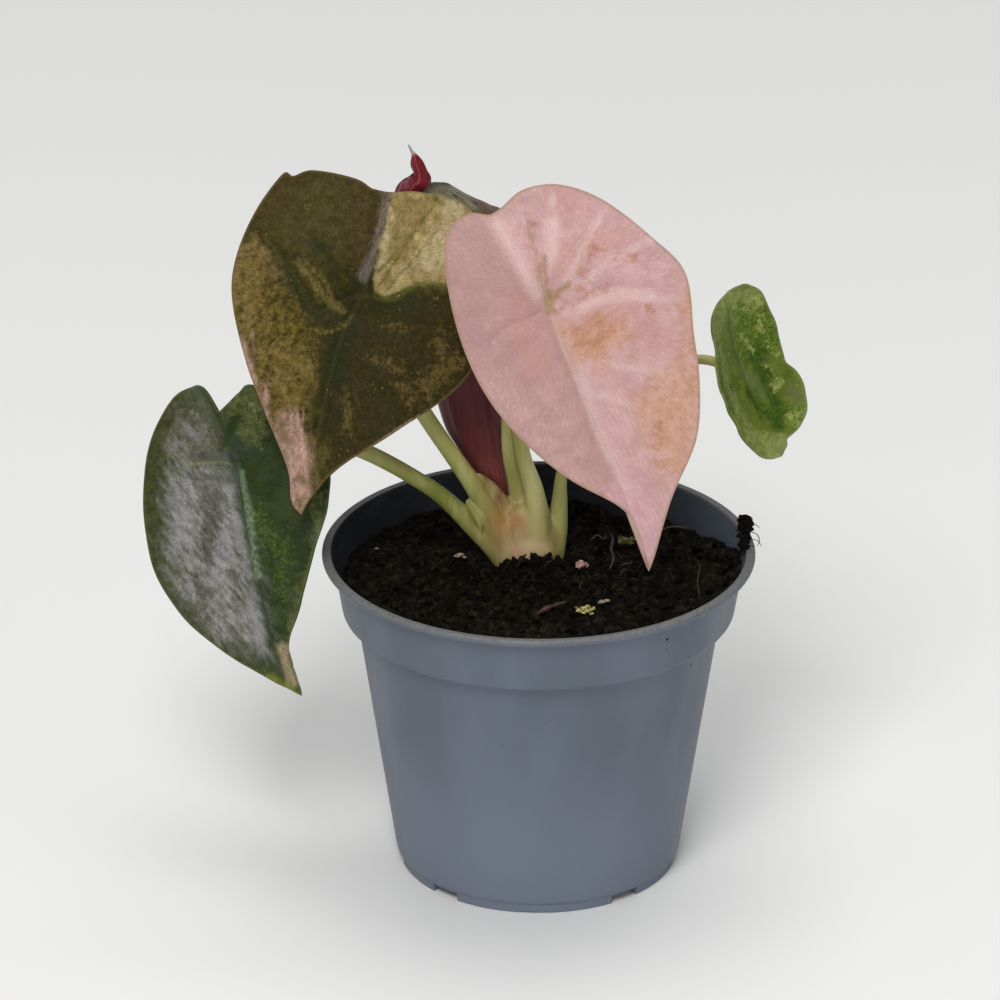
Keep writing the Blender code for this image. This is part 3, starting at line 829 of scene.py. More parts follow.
@dataclass(frozen=True)
class Blade:
    """One spread blade: its place and facing, its outline, its relief and its ribs."""

    name: str
    hub: Place
    azimuth: float
    elevation: float
    roll: float
    sinus: Point
    left: tuple[Point, ...]
    right: tuple[Point, ...]
    tip: Point
    fold: float
    curl: float
    tip_arch: float
    lobe_arch: float
    dimple: float
    wave: float
    waves: int
    ribs: tuple[tuple[Point, ...], ...]
    finish: BladeFinish
    laterals: int = 6
    spokes: int = 300
    rings: int = 60
    thickness: float = 0.7
    dimple_reach: float = 6.7
    rib_steps: int = 24
    groove: float = 0.5
    groove_width: float = 1.2
    shoulder: float = 0.45
    shoulder_place: float = 2.8
    shoulder_width: float = 1.7
    quilting: float = 0.3
    quilt_size: float = 3.2
    ripple: float = 0.2
    ripples: tuple[int, int] = (52, 91)
    marking_reach: float = 30.0

    def axes(self) -> tuple[Array, Array, Array]:
        """The blade's own directions.

        Returns:
            Across, along and outward.
        """
        azimuth, elevation, roll = (math.radians(a) for a in (self.azimuth, self.elevation, self.roll))
        level = math.cos(elevation)
        outward = np.array([math.sin(azimuth) * level, -math.cos(azimuth) * level, math.sin(elevation)])
        right = np.array([math.cos(azimuth), math.sin(azimuth), 0.0])
        up = np.cross(right, outward)
        up = up if up[2] > 0 else -up
        across = right * math.cos(roll) + up * math.sin(roll)
        return across, right * math.sin(roll) - up * math.cos(roll), outward

    def outline(self) -> Array:
        """The outline once round, from the sinus down the left side to the tip and back up.

        Returns:
            Its points, one to a spoke.
        """
        sides = (self.left, self.right)
        left, right = (smooth_curve([self.sinus, *side, self.tip], self.spokes // 2) for side in sides)
        return np.vstack([left[:-1], right[:0:-1]])

    def lateral_veins(self) -> list[Array]:
        """The side veins, which curve from the midrib and the hub out and on towards the tip.

        Returns:
            The points of each.
        """
        length = self.tip[1]
        reach = max(point[0] for point in self.right)
        course = ((0.0, 0.0), (0.35, 0.18), (0.7, 0.52), (0.95, 1.0))
        veins = []
        for side in (-1, 1):
            for number in range(self.laterals):
                start = length * (0.08 + 0.72 * number / self.laterals)
                out = side * reach * (1.02 - 0.72 * number / self.laterals)
                veins.append(smooth_curve([(out * a, start + 0.3 * length * b) for a, b in course], 14))
            for turn in (0.2, 0.5, 0.85):
                aim = np.array([side * reach * (0.98 - 0.5 * turn), self.sinus[1] * turn * 1.15])
                veins.append(smooth_curve([(0.0, 0.0), aim * 0.4 + (0.0, 0.8), aim * 0.75, aim], 12))
        return veins

    def relief(self, spots: Array, share: Array) -> Array:
        """How far the blade's main form stands out of its flat plane.

        Args:
            spots: The (across, along) of each point.
            share: How far out each point lies, 0 at the hub and 1 at the margin.

        Returns:
            The height of each point.
        """
        across, along = spots.T
        fold = self.fold * (np.sqrt(across**2 + 4) - 2)
        arch = np.where(along > 0, self.tip_arch, self.lobe_arch) * along**2
        dimple = self.dimple * np.exp(-(across**2 + along**2) / self.dimple_reach**2)
        wave = self.wave * share**4 * np.sin(self.waves * np.arctan2(across, along) + 0.6)
        return fold - self.curl * across**2 - arch - dimple + wave

    def fine_relief(self, ribs: Array, veins: Array, share: Array, turn: Array) -> Array:
        """The grooves along ribs and veins, the quilting between them and the rippled margin.

        Args:
            ribs: Each point's distance to the main ribs.
            veins: Each point's distance to any vein.
            share: How far out each point lies, 0 to 1.
            turn: How far round each point lies, 0 to 1.

        Returns:
            The height of each point.
        """
        fade = np.clip(1.15 - share, 0, 1) ** 0.5 * np.clip(share * 9, 0, 1)
        grooves = -self.groove * np.exp(-((ribs / self.groove_width) ** 2)) * fade
        beside = (ribs - self.shoulder_place) / self.shoulder_width
        shoulders = self.shoulder * self.groove * np.exp(-(beside**2)) * fade
        puffed = np.clip(veins / self.quilt_size, 0, 1) ** 1.5 - 0.5
        quilts = self.quilting * puffed * np.clip(share * 4, 0, 1) * fade
        slow, quick = self.ripples
        ripples = self.ripple * share**8 * (np.sin(slow * turn) + np.sin(quick * turn + 1.3))
        return grooves + shoulders + quilts + ripples

    def build(self, effects: Effects) -> None:
        """Model the blade as a fine sheet, give it its thickness and two skins, and hand it over.

        Args:
            effects: The shared node groups.
        """
        piece = turned(f"{self.name}_blade", UNIT_DISC, self.spokes, self.rings)
        disc = points_of(piece)
        share = np.clip(np.hypot(disc[:, 0], disc[:, 1]), 0, 1)
        step = spoke_of(disc, self.spokes)
        turn = step / self.spokes
        outline = self.outline()
        spots = outline[step] * share[:, None]
        lines = [smooth_curve(rib, self.rib_steps) for rib in self.ribs]
        ribs = np.minimum.reduce([distance_to_line(spots, line) for line in lines])
        veins = np.minimum.reduce([distance_to_line(spots, vein) for vein in self.lateral_veins()])
        height = self.relief(spots, share) + self.fine_relief(ribs, np.minimum(ribs, veins), share, turn)
        across, along, outward = self.axes()
        middle = np.array(self.hub) + spots[:, :1] * across + spots[:, 1:] * along
        put_points(piece, middle + height[:, None] * outward)
        facing = sum((face.normal * face.area for face in piece.data.polygons), Vector())
        if facing.dot(Vector(outward)) < 0:
            piece.data.flip_normals()
        add_field(piece, "margin", distance_to_line(spots, np.vstack([outline, outline[:1]])))
        add_field(piece, "vein", np.minimum(ribs * 0.8, veins + 0.5))
        for marking in self.finish.markings:
            depth = np.clip(marking.depth(spots), -self.marking_reach, self.marking_reach)
            add_field(piece, marking.name, depth)
        add_uv(piece, "blade", spots)
        add_uv(piece, "spread", np.column_stack([turn, share]), wraps=True)
        for underside in (False, True):
            piece.data.materials.append(self.finish.material(self.name, effects, underside))
        wall = self.thickness * MM
        apply_modifier(
            piece, "SOLIDIFY", thickness=wall, offset=0.0, use_even_offset=False, material_offset=1
        )
        hand_over(piece, self.finish.slot, self.name, angle=60.0)


@dataclass(frozen=True)
class StemTone:
    """A soft spot of colour on the stalks and the crown."""

    place: Place
    reach: Place
    colour: Colour
    strength: float


@dataclass(frozen=True)
class StemFinish:
    """The waxy skin of the stalks and the crown, coloured by where it is."""

    stalk: Colour = rgb(170, 167, 100)
    pale: Colour = rgb(188, 186, 132)
    fleck: Colour = rgb(92, 70, 40)
    tones: tuple[StemTone, ...] = (
        # Painted shade: the stalks on the left darker and greener, in the shade of the leaves above them.
        StemTone((-28, 8, 104), (13, 12, 13), rgb(110, 116, 46), 0.9),
        StemTone((-13.5, 4, 92), (6, 9, 9), rgb(132, 124, 62), 0.85),
        StemTone((-7.4, 2, 99), (6.2, 12, 8), rgb(156, 104, 58), 0.9),
        StemTone((-6.6, 2, 97), (4, 9, 4.6), rgb(178, 106, 76), 0.6),
        StemTone((-3.4, 1.5, 90.6), (8, 9, 5.2), rgb(192, 150, 130), 0.85),
        StemTone((-18.8, 7, 117), (1.9, 6, 4), rgb(120, 88, 46), 0.7),
        StemTone((-14.6, 8, 111), (2, 6, 3.6), rgb(118, 76, 46), 0.85),
        StemTone((-10.4, 8, 106.2), (3, 6, 3.6), rgb(118, 64, 50), 0.9),
        StemTone((-7.6, 7, 116), (2.2, 7, 13), rgb(142, 140, 72), 0.85),
        StemTone((-1.2, 5.6, 111), (2.8, 7, 15), rgb(212, 206, 146), 0.9),
        StemTone((6.4, 13, 104), (3.4, 6, 14), rgb(182, 180, 108), 0.6),
        StemTone((3, 4, 98), (1, 5, 5), rgb(112, 98, 48), 0.7),
        StemTone((4.6, 4, 91.5), (1.2, 5, 4), rgb(120, 92, 46), 0.7),
    )

    def paint(self, piece: Piece) -> None:
        """Keep the skin's main colour at each of the piece's points.

        Args:
            piece: A stalk or the crown.
        """
        points = points_of(piece) / MM
        colours = np.tile(np.array(self.stalk), (len(points), 1))
        for tone in self.tones:
            away = (points - np.array(tone.place)) / np.array(tone.reach)
            share = tone.strength * np.exp(-np.sum(away**2, axis=1))
            colours += share[:, None] * (np.array(tone.colour) - colours)
        add_paint(piece, "paint", colours)

    def material(self, effects: Effects) -> Material:
        """Make the stem skin.

        Args:
            effects: The shared node groups.

        Returns:
            The material.
        """
        material, sheet, shader = start_material("Stem skin", 0.38)
        place = sheet.place()
        cloud = sheet.span(sheet.noise(sheet.stretch(place, (260.0, 260.0, 60.0)), 1.0), 0.4, 0.68)
        toned = sheet.blend(sheet.times(cloud, 0.4), sheet.paint("paint"), self.pale)
        lines = sheet.stretch(place, (1500.0, 1500.0, 90.0))
        streaked = sheet.group(effects.streaks, Colour=toned, Place=lines, Amount=0.1)
        freckled = sheet.group(
            effects.freckles, Colour=streaked["Colour"], Freckle=self.fleck, Place=place, Scale=900.0,
            Share=0.07,
        )
        sheet.feed(
            shader, Base_Color=freckled["Colour"], Normal=sheet.bump(streaked["Height"], 0.3, 0.12),
            Specular_IOR_Level=0.25, Subsurface_Weight=0.2, Subsurface_Radius=(0.004, 0.003, 0.0015),
            Subsurface_Scale=0.5,
        )
        return material


@dataclass(frozen=True)
class Stalk:
    """One petiole, from inside the crown to the back of its blade."""

    name: str
    blade: Blade
    points: tuple[Place, ...]
    radius: float
    base_radius: float
    sheath: float
    start_length: float = 26.0
    overlap: float = 6.0
    flare: float = 0.3
    flare_length: float = 2.2
    sides: int = 26
    steps: int = 90

    def path(self) -> Array:
        """The stalk's middle line, which ends square in the blade's hub."""
        back = [self.blade.axes()[2] * (self.blade.dimple + extra) for extra in (4.85, 0.35)]
        return smooth_curve([*self.points, *(np.array(self.blade.hub) - step for step in back)], 200)

    def radius_at(self, length: Array) -> Array:
        """The radius at lengths along the stalk, which swells into a sheath towards its base."""
        swell = np.exp(-((length / self.start_length) ** 2) * 2.2)
        return self.radius + (self.base_radius - self.radius) * swell

    def tube(self, name: str, start: float, end: float, sides: int, steps: int, taper: bool) -> Piece:
        """A tube along a stretch of the stalk.

        Args:
            name: The tube's name.
            start: The length along the stalk where it starts.
            end: The length where it ends.
            sides: How many sides it has.
            steps: How many steps it has.
            taper: Whether its last fifth narrows, to end inside the stalk.

        Returns:
            The object.
        """
        piece = sleeve(name, sides, steps)
        shape = points_of(piece)
        path = self.path()
        lengths = lengths_along(path)
        level = level_of(shape, steps)
        wanted = np.linspace(start, min(end, lengths[-1]), steps + 1)
        middle = rows_at(wanted, lengths, path)
        ahead = units(rows_at(wanted, lengths, np.gradient(path, lengths, axis=0)))
        if taper:
            swell = np.interp(np.linspace(0, 1, steps + 1), [0, 0.8, 1], [1.0, 1.0, 0.78])
        else:
            swell = 1 + self.flare * np.exp(-(((lengths[-1] - wanted) / self.flare_length) ** 2))
        radii = self.radius_at(wanted) * swell
        rights, backs = [], []
        side = np.cross(ahead[0], (0.0, 1.0, 0.0))
        for direction in ahead:
            side = side - direction * (side @ direction)
            side /= np.linalg.norm(side)
            rights.append(side)
            backs.append(np.cross(direction, side))
        turn = np.arctan2(shape[:, 1], shape[:, 0])
        ridges = 1 + 0.015 * np.cos(9 * turn) + 0.012 * np.sin(13 * turn + wanted[level] * 0.25)
        right, back = np.array(rights)[level], np.array(backs)[level]
        out = np.cos(turn)[:, None] * right + np.sin(turn)[:, None] * back
        put_points(piece, middle[level] + (radii[level] * ridges)[:, None] * out)
        face_out(piece)
        return piece

    def build(self, finish: StemFinish, skin: Material) -> None:
        """Model the stalk above its sheath, dress it and hand it over.

        Args:
            finish: What colours it.
            skin: Its material.
        """
        start = self.sheath - self.overlap
        piece = self.tube(f"{self.name}_stalk", start, math.inf, self.sides, self.steps, False)
        finish.paint(piece)
        hand_over(piece, "stem", self.name, skin=skin, angle=60.0)


@dataclass(frozen=True)
class Swelling:
    """A rounded swelling of the crown, between the feet of the stalks."""

    centre: Place
    half_size: Place
    lean: float = 0.0

    def build(self) -> Piece:
        """Model it as a ball, squeezed and leant to one side about the view's axis.

        Returns:
            The object.
        """
        deselect_all()
        bpy.ops.mesh.primitive_ico_sphere_add(subdivisions=4, radius=1.0)
        piece = name_active("swelling")
        turn = np.array(Euler((0.0, math.radians(self.lean), 0.0)).to_matrix())
        put_points(piece, points_of(piece) * np.array(self.half_size) @ turn.T + np.array(self.centre))
        return piece


@dataclass(frozen=True)
class Crown:
    """The short stem: a corm in the soil, grown together with the sheathed foot of every stalk."""

    centre: Point = (-3, 10)
    half_size: Point = (11, 8)
    base: float = 72.0
    shoulder: float = 81.0
    sheath_overlap: float = 4.0
    sheath_sides: int = 24
    sheath_steps: int = 20
    rod_sides: int = 12
    rod_steps: int = 40
    corm_sides: int = 48
    voxel: float = 0.46
    smoothing: int = 34
    swellings: tuple[Swelling, ...] = (
        Swelling((-3, 9.4, 88), (9.3, 6, 8)), Swelling((-4.8, 9.2, 93.5), (6.4, 4.3, 9.5), -4),
        Swelling((-9.8, 9, 93.5), (4.8, 4, 9.5), -26), Swelling((-15.6, 9, 98.6), (3.2, 3.1, 7.4), -36),
        Swelling((-12.2, 10, 105.6), (2.3, 2, 8.5), -40), Swelling((-8.2, 10.4, 97), (2.6, 2.4, 7), -4),
        Swelling((1.6, 10.6, 90.5), (4.2, 4.4, 7), 8),
    )
    seam: tuple[Place, ...] = (
        (-21.6, 7.6, 104.9), (-20, 6.6, 104.2), (-18.2, 5.9, 101.6), (-16.4, 5.2, 97.8), (-15.2, 4.6, 93.6),
    )
    seam_radius: float = 0.7
    bud: tuple[Place, ...] = ((-6, 13, 84), (-8.2, 14.5, 93), (-9.8, 16.2, 100))
    bud_radius: float = 2.2

    def rod(self, name: str, points: Sequence[Place], radius: float) -> Piece:
        """A round rod along points, narrower at its two ends.

        Args:
            name: The rod's name.
            points: The points.
            radius: Its radius between its ends.

        Returns:
            The object.
        """
        steps = self.rod_steps
        piece = sleeve(name, self.rod_sides, steps)
        shape = points_of(piece)
        level = level_of(shape, steps)
        out = radius * np.interp(level / steps, [0, 0.2, 0.7, 1], [0.25, 1.0, 1.0, 0.3])
        flat = np.column_stack([shape[:, 0] * out, shape[:, 1] * out, np.zeros(len(out))])
        put_points(piece, smooth_curve(points, steps)[level] + flat)
        face_out(piece)
        return piece

    def corm(self) -> Piece:
        """The oval corm, turned and then squeezed to its oval.

        Returns:
            The object.
        """
        base, shoulder = self.base, self.shoulder
        profile = (
            (0.0, base), (0.6, base), (0.9, base + 3.0), (1.0, base + 8.0), (1.0, shoulder),
            (0.93, shoulder + 2.0), (0.7, shoulder + 4.5), (0.0, shoulder + 5.5),
        )
        piece = turned("corm", profile, self.corm_sides)
        put_points(piece, points_of(piece) / MM * (*self.half_size, 1) + (*self.centre, 0))
        face_out(piece)
        return piece

    def build(self, stalks: Sequence[Stalk], finish: StemFinish, skin: Material) -> None:
        """Grow the corm, the sheaths and their seam together, dress them and hand them over.

        Args:
            stalks: The stalks whose feet it holds.
            finish: What colours it.
            skin: Its material.
        """
        parts = [self.corm(), self.rod("bud", self.bud, self.bud_radius)]
        parts += [swelling.build() for swelling in self.swellings]
        for stalk in stalks:
            name, end = f"{stalk.name}_sheath", stalk.sheath + self.sheath_overlap
            parts.append(stalk.tube(name, 0.0, end, self.sheath_sides, self.sheath_steps, True))
        parts.append(self.rod("sheath_seam", self.seam, self.seam_radius))
        piece = join_into("crown_and_sheaths", parts)
        apply_modifier(piece, "REMESH", mode="VOXEL", voxel_size=self.voxel * MM)
        apply_modifier(piece, "SMOOTH", factor=0.5, iterations=self.smoothing)
        finish.paint(piece)
        hand_over(piece, "stem", "crown", skin=skin)


@dataclass(frozen=True)
class RolledLeaf:
    """The newest leaf, upright and still rolled, from the crown to its drip tip."""

    sections: tuple[tuple[Place, float, float], ...]
    steps: int = 150
    arc_steps: int = 40
    crowding: float = 1.4
    thickness: float = 0.65
    tuck: float = 0.12
    rib: float = 0.022
    rib_turn: float = 22.0
    dark: Colour = rgb(91, 46, 50)
    foot: Colour = rgb(112, 58, 54)
    # The crimson tip: partly the leaf's own red, partly painted light shining through it.
    tip: Colour = rgb(110, 31, 40)
    # Painted shade: the dark brown-red wedge on the right side of the roll.
    shaded_side: Colour = rgb(70, 30, 14)
    fold: Colour = rgb(66, 46, 52)
    mauve: Colour = rgb(110, 54, 66)
    vein: Colour = rgb(168, 104, 102)
    drip: Colour = rgb(160, 154, 152)

    def build(self, effects: Effects) -> None:
        """Model the roll as a closed sleeve, out along its outer face and back along its inner one.

        Args:
            effects: The shared node groups.
        """
        knots = [(*place, radius, reach) for place, radius, reach in self.sections]
        rows = smooth_curve(knots, self.steps, self.crowding)
        ahead = units(np.gradient(rows[:, :3], axis=0))
        towards = np.array([0.0, -1.0, 0.0])
        front = units(towards - ahead * (ahead @ towards)[:, None])
        side = np.cross(front, ahead)
        sides = 2 * (self.arc_steps + 1)
        piece = sleeve("leaf_new_blade", sides, self.steps)
        shape = points_of(piece)
        level = level_of(shape, self.steps)
        spoke = spoke_of(shape, sides)
        inner = spoke > self.arc_steps
        share = np.where(inner, sides - 1 - spoke, spoke) / self.arc_steps * 2 - 1
        radius = rows[level, 3]
        turn = share * np.radians(rows[level, 4])
        inward = self.tuck * np.clip(share - 0.45, 0, 1) * radius
        ribs = self.rib * radius * np.cos(share * self.rib_turn + 0.5) * np.clip(radius / 6, 0, 1)
        wall = np.where(inner, np.minimum(self.thickness, 0.45 * radius), 0.0)
        out = radius - inward + ribs - wall
        across = np.cos(turn)[:, None] * front[level] + np.sin(turn)[:, None] * side[level]
        put_points(piece, rows[level, :3] + out[:, None] * across)
        face_out(piece)
        add_field(piece, "length", rows[level, 2])
        add_field(piece, "across", share)
        hand_over(piece, "leaf_new", "leaf_new", skin=self.material(effects), angle=50.0)

    def material(self, effects: Effects) -> Material:
        """Make the maroon skin with its crimson tip, which is partly painted light, and painted shade on its
        right side.

        Args:
            effects: The shared node groups.

        Returns:
            The material.
        """
        material, sheet, shader = start_material("Rolled leaf skin", 0.42)
        place = sheet.place()
        height = sheet.field("length")

        def between(low: float, high: float, most: float = 1.0) -> object:
            """A share that grows to its most between two heights."""
            return sheet.span(height, low, high, 0.0, most)

        right = sheet.times(sheet.field("across"), -1.0)
        wander = sheet.minus(sheet.noise(place, 120.0, 4.0), 0.5)
        wavy = sheet.plus(right, sheet.times(wander, 0.7))
        colour = sheet.blend(between(104.0, 128.0), self.foot, self.dark)
        # The crimson tip, partly the leaf's own red and partly painted light shining through it.
        colour = sheet.blend(between(176.0, 188.0), colour, self.tip)
        purple = sheet.times(sheet.span(wavy, 0.0, -0.2), between(174.0, 180.0))
        colour = sheet.blend(sheet.times(purple, between(196.0, 192.5)), colour, self.mauve)
        # Painted shade: a dark brown-red wedge on the right side, below the crimson tip.
        slant = sheet.times(sheet.minus(height, 189.0), 0.139)
        shaded_side_share = sheet.times(sheet.span(sheet.minus(right, slant), -0.12, -0.02), between(172.0, 182.0, 0.95))
        colour = sheet.blend(shaded_side_share, colour, self.shaded_side)
        folded = sheet.times(sheet.span(wavy, -0.32, -0.44), between(186.0, 189.0))
        colour = sheet.blend(folded, colour, self.fold)
        climbing = sheet.times(sheet.minus(height, 181.0), 0.04)
        courses = (
            (wavy, between(180.0, 187.0, 0.65)),
            (sheet.plus(wavy, 0.34), between(184.0, 189.0, 0.75)),
            (sheet.minus(wavy, climbing), between(181.0, 185.0, 0.65)),
            (sheet.plus(wavy, climbing), between(178.0, 182.0, 0.6)),
        )
        for course, strength in courses:
            on_it = sheet.span(sheet.sum("ABSOLUTE", course), 0.032, 0.004)
            colour = sheet.blend(sheet.times(on_it, strength), colour, self.vein)
        patch = sheet.times(sheet.span(sheet.noise(place, 380.0, 5.0), 0.5, 0.62), purple)
        colour = sheet.blend(sheet.times(patch, between(195.0, 191.0, 0.5)), colour, self.vein)
        colour = sheet.blend(between(201.4, 202.6), colour, self.drip)
        lines = sheet.stretch(place, (1100.0, 1100.0, 60.0))
        streaked = sheet.group(effects.streaks, Colour=colour, Place=lines, Amount=0.3)
        normal = sheet.bump(streaked["Height"], 0.3, 0.12)
        sheet.feed(shader, Base_Color=streaked["Colour"], Normal=normal, Specular_IOR_Level=0.15)
        return material


@dataclass(frozen=True)
class GrowerPot:
    """The thermoformed pot: a tapering wall, a wider collar, a flat lip and a notched foot."""

    rim_radius: float = 60.0
    height: float = 93.5
    wall: float = 1.25
    wall_slope: float = 0.1486
    body_base_radius: float = 39.43
    collar_base: float = 76.2
    collar_base_radius: float = 54.5
    collar_slope: float = 0.16
    lip_height: float = 2.1
    lip_width: float = 2.7
    floor_underside: float = 2.8
    floor_top: float = 4.3
    foot_radius: float = 38.9
    foot_width: float = 1.9
    pad_radius: float = 9.0
    notches: int = 9
    shallow_every: int = 3
    notch_half_width: float = 6.5
    front_notch: float = -92.0
    notch_deep: float = 2.4
    notch_shallow: float = 0.5
    drain_radius: float = 3.5
    drain_circle: float = 27.0
    segments: int = 256
    plastic: Colour = rgb(98, 107, 121)
    plastic_dark: Colour = rgb(90, 99, 111)
    # Painted light: the paler tone towards the foot, for light that the floor throws back on the lower wall.
    plastic_lit_foot: Colour = rgb(110, 119, 134)
    worn: Colour = rgb(112, 113, 112)
    dust: Colour = rgb(60, 54, 48)
    # Soil dirt, also used for painted shade on the inner wall.
    grime_and_shade: Colour = rgb(13, 12, 11)
    specks: tuple[Place, ...] = ((34.6, -44.2, 86.8), (41.8, -27.6, 71.0))

    def body_radius(self, height: float) -> float:
        """The outer radius of the tapering wall at a height."""
        return self.body_base_radius + self.wall_slope * height

    def collar_radius(self, height: float) -> float:
        """The outer radius of the collar at a height."""
        return self.collar_base_radius + self.collar_slope * (height - self.collar_base)

    def inner_radius(self, height: Array) -> Array:
        """The radius inside the collar.

        Args:
            height: Some heights.

        Returns:
            The radius at each.
        """
        low_radius, low = self.inner_wall()[0]
        share = (height - low) / (self.height - 0.5 - low)
        return low_radius + share * (self.rim_radius - self.lip_width - low_radius)

    def inner_wall(self) -> list[Point]:
        """The inside of the pot below its lip.

        Returns:
            Its (radius, height), from the top to the floor.
        """
        ledge = self.collar_base + 1.2
        floor = self.floor_top
        return [
            (self.collar_radius(ledge + 0.6) - self.wall, ledge + 0.6),
            (self.collar_radius(ledge) - self.wall - 0.8, ledge),
            (self.body_radius(ledge - 0.6) - self.wall, ledge - 0.6),
            (self.body_radius(floor + 1.0) - self.wall, floor + 1.0),
            (self.body_radius(floor) - self.wall - 0.9, floor),
        ]

    def profile(self) -> list[Point]:
        """The whole wall with rounded corners.

        Returns:
            Its (radius, height), from the centre pad round the outside to the floor.
        """
        rim, foot, pad = self.rim_radius, self.foot_radius, self.pad_radius
        under, top, lip_under = self.floor_underside, self.height, self.height - self.lip_height
        foot_inside, lip_inside, step = foot - self.foot_width, rim - self.lip_width, self.collar_base
        return self.rounded([
            (0.0, 0.0), (pad - 0.6, 0.0), (pad, 0.6), (pad, under),
            (foot_inside, under), (foot_inside, 0.0), (foot, 0.0), (foot + 0.2, under + 0.1),
            (self.body_radius(3.1) - 0.3, 3.1), (self.body_radius(4.2), 4.2),
            (self.body_radius(step - 0.8), step - 0.8),
            (self.collar_base_radius - 0.6, step - 0.2), (self.collar_base_radius, step + 0.5),
            (self.collar_radius(lip_under), lip_under), (rim - 0.4, lip_under + 0.3), (rim, lip_under + 0.8),
            (rim, top - 0.6), (rim - 0.6, top), (lip_inside + 0.4, top), (lip_inside, top - 0.5),
            *self.inner_wall(), (0.0, self.floor_top),
        ])

    def rounded(self, sharp: Sequence[Point], radius: float = 0.35) -> list[Point]:
        """Round each corner of a profile with a short arc.

        Args:
            sharp: The profile with sharp corners.
            radius: How far before and after a corner its arc begins and ends, at most.

        Returns:
            The profile with arcs.
        """
        points = [sharp[0]]
        for before, corner, after in zip(sharp, sharp[1:], sharp[2:]):
            here = np.array(corner)
            back, ahead = np.array(before) - here, np.array(after) - here
            reach = min(radius, 0.45 * float(np.hypot(*back)), 0.45 * float(np.hypot(*ahead)))
            start = here + back / np.hypot(*back) * reach
            end = here + ahead / np.hypot(*ahead) * reach
            for t in (0.0, 0.33, 0.67, 1.0):
                x, z = (1 - t) ** 2 * start + 2 * t * (1 - t) * here + t**2 * end
                points.append((float(x), float(z)))
        return [*points, sharp[-1]]

    def cutters(self) -> Piece:
        """The blocks that cut the foot's notches and the rods that cut the drain holes.

        Returns:
            All of them as one object.
        """
        parts = []
        middle = self.foot_radius - self.foot_width / 2
        width = 2 * self.foot_radius * math.sin(math.radians(self.notch_half_width))
        for number in range(self.notches):
            angle = math.radians(self.front_notch + number * 360 / self.notches)
            shallow = number % self.shallow_every == 0
            depth = self.notch_shallow if shallow else self.notch_deep
            place, size = on_circle(middle, angle, depth - 5), (6 * MM, width * MM, 10 * MM)
            deselect_all()
            bpy.ops.mesh.primitive_cube_add(size=1.0, location=place, rotation=(0, 0, angle), scale=size)
            parts.append(name_active("notch_cutter"))
            if not shallow:
                place, radius = on_circle(self.drain_circle, angle, 3.5), self.drain_radius * MM
                deselect_all()
                bpy.ops.mesh.primitive_cylinder_add(vertices=32, radius=radius, depth=4 * MM, location=place)
                parts.append(name_active("drain_cutter"))
        return join_into("pot_cutters", parts)

    def material(self, effects: Effects) -> Material:
        """Make the matt blue-grey plastic, worn at the lip, dirty and painted with shade inside, and painted
        lighter towards the foot.

        Args:
            effects: The shared node groups.

        Returns:
            The material.
        """
        material, sheet, shader = start_material("Pot plastic", 0.5)
        place = sheet.place()
        height = sheet.axis(place, "Z")
        flow = sheet.noise(sheet.stretch(place, (45.0, 45.0, 14.0)), 1.0, 4.0)
        colour = sheet.blend(sheet.span(flow, 0.35, 0.68), self.plastic, self.plastic_dark)
        # Painted light: paler towards the foot, for light that the floor throws back on the lower wall.
        colour = sheet.blend(sheet.span(height, 60.0, 12.0, 0.0, 0.9), colour, self.plastic_lit_foot)
        scuffs = sheet.noise(sheet.stretch(place, (160.0, 160.0, 900.0)), 1.0, 5.0, 0.7)
        at_lip = sheet.span(height, self.height - 1.2, self.height - 0.2)
        worn = sheet.times(at_lip, sheet.span(scuffs, 0.25, 0.6, 0.45, 1.0))
        colour = sheet.blend(worn, colour, self.worn)
        colour = sheet.blend(sheet.span(scuffs, 0.66, 0.78, 0.0, 0.35), colour, self.worn)
        freckled = sheet.group(
            effects.freckles, Colour=colour, Freckle=self.dust, Place=place, Scale=700.0, Share=0.03
        )
        # Darker inside the collar and more so towards the left: partly soil dirt, partly painted shade on the
        # inner wall that faces away from the light. The crumbs at the lip and the specks are dirt.
        to_left = sheet.span(sheet.axis(place, "X"), 56.0, 24.0, 0.12, 0.84)
        within = sheet.times(sheet.field("within"), to_left)
        smears = sheet.noise(sheet.stretch(place, (120.0, 120.0, 200.0)), 1.0, 6.0)
        grimy_and_shaded = sheet.times(within, sheet.span(smears, 0.2, 0.5, 0.75, 1.0))
        crumbly = sheet.span(sheet.noise(place, 900.0, 6.0, 0.7), 0.5, 0.62, 0.0, 0.35)
        dirt = sheet.sum("MAXIMUM", grimy_and_shaded, sheet.times(at_lip, crumbly))
        for spot in self.specks:
            dirt = sheet.sum("MAXIMUM", dirt, sheet.near(place, spot, 0.5))
        sheet.feed(
            shader, Base_Color=sheet.blend(dirt, freckled["Colour"], self.grime_and_shade),
            Roughness=sheet.span(flow, 0.3, 0.7, 0.42, 0.56), Specular_IOR_Level=0.3,
            Normal=sheet.bump(sheet.noise(place, 2600.0, 2.0), 0.18, 0.06),
        )
        return material

    def build(self, effects: Effects) -> None:
        """Turn the pot, cut its foot and floor, dress it and hand it over.

        Args:
            effects: The shared node groups.
        """
        piece = turned("grower_pot", self.profile(), self.segments)
        cutters = self.cutters()
        apply_modifier(piece, "BOOLEAN", operation="DIFFERENCE", solver="EXACT", object=cutters)
        bpy.data.objects.remove(cutters, do_unlink=True)
        piece.data.materials.clear()
        points = points_of(piece) / MM
        radius, height = np.hypot(points[:, 0], points[:, 1]), points[:, 2]
        below_lip = (height > self.collar_base) & (radius < self.collar_radius(height) - 0.4)
        at_lip = (height > self.height - 1.5) & (radius < self.rim_radius - self.lip_width + 0.35)
        add_field(piece, "within", (below_lip | at_lip).astype(float))
        hand_over(piece, "pot_plastic", "pot", skin=self.material(effects), angle=32.0)


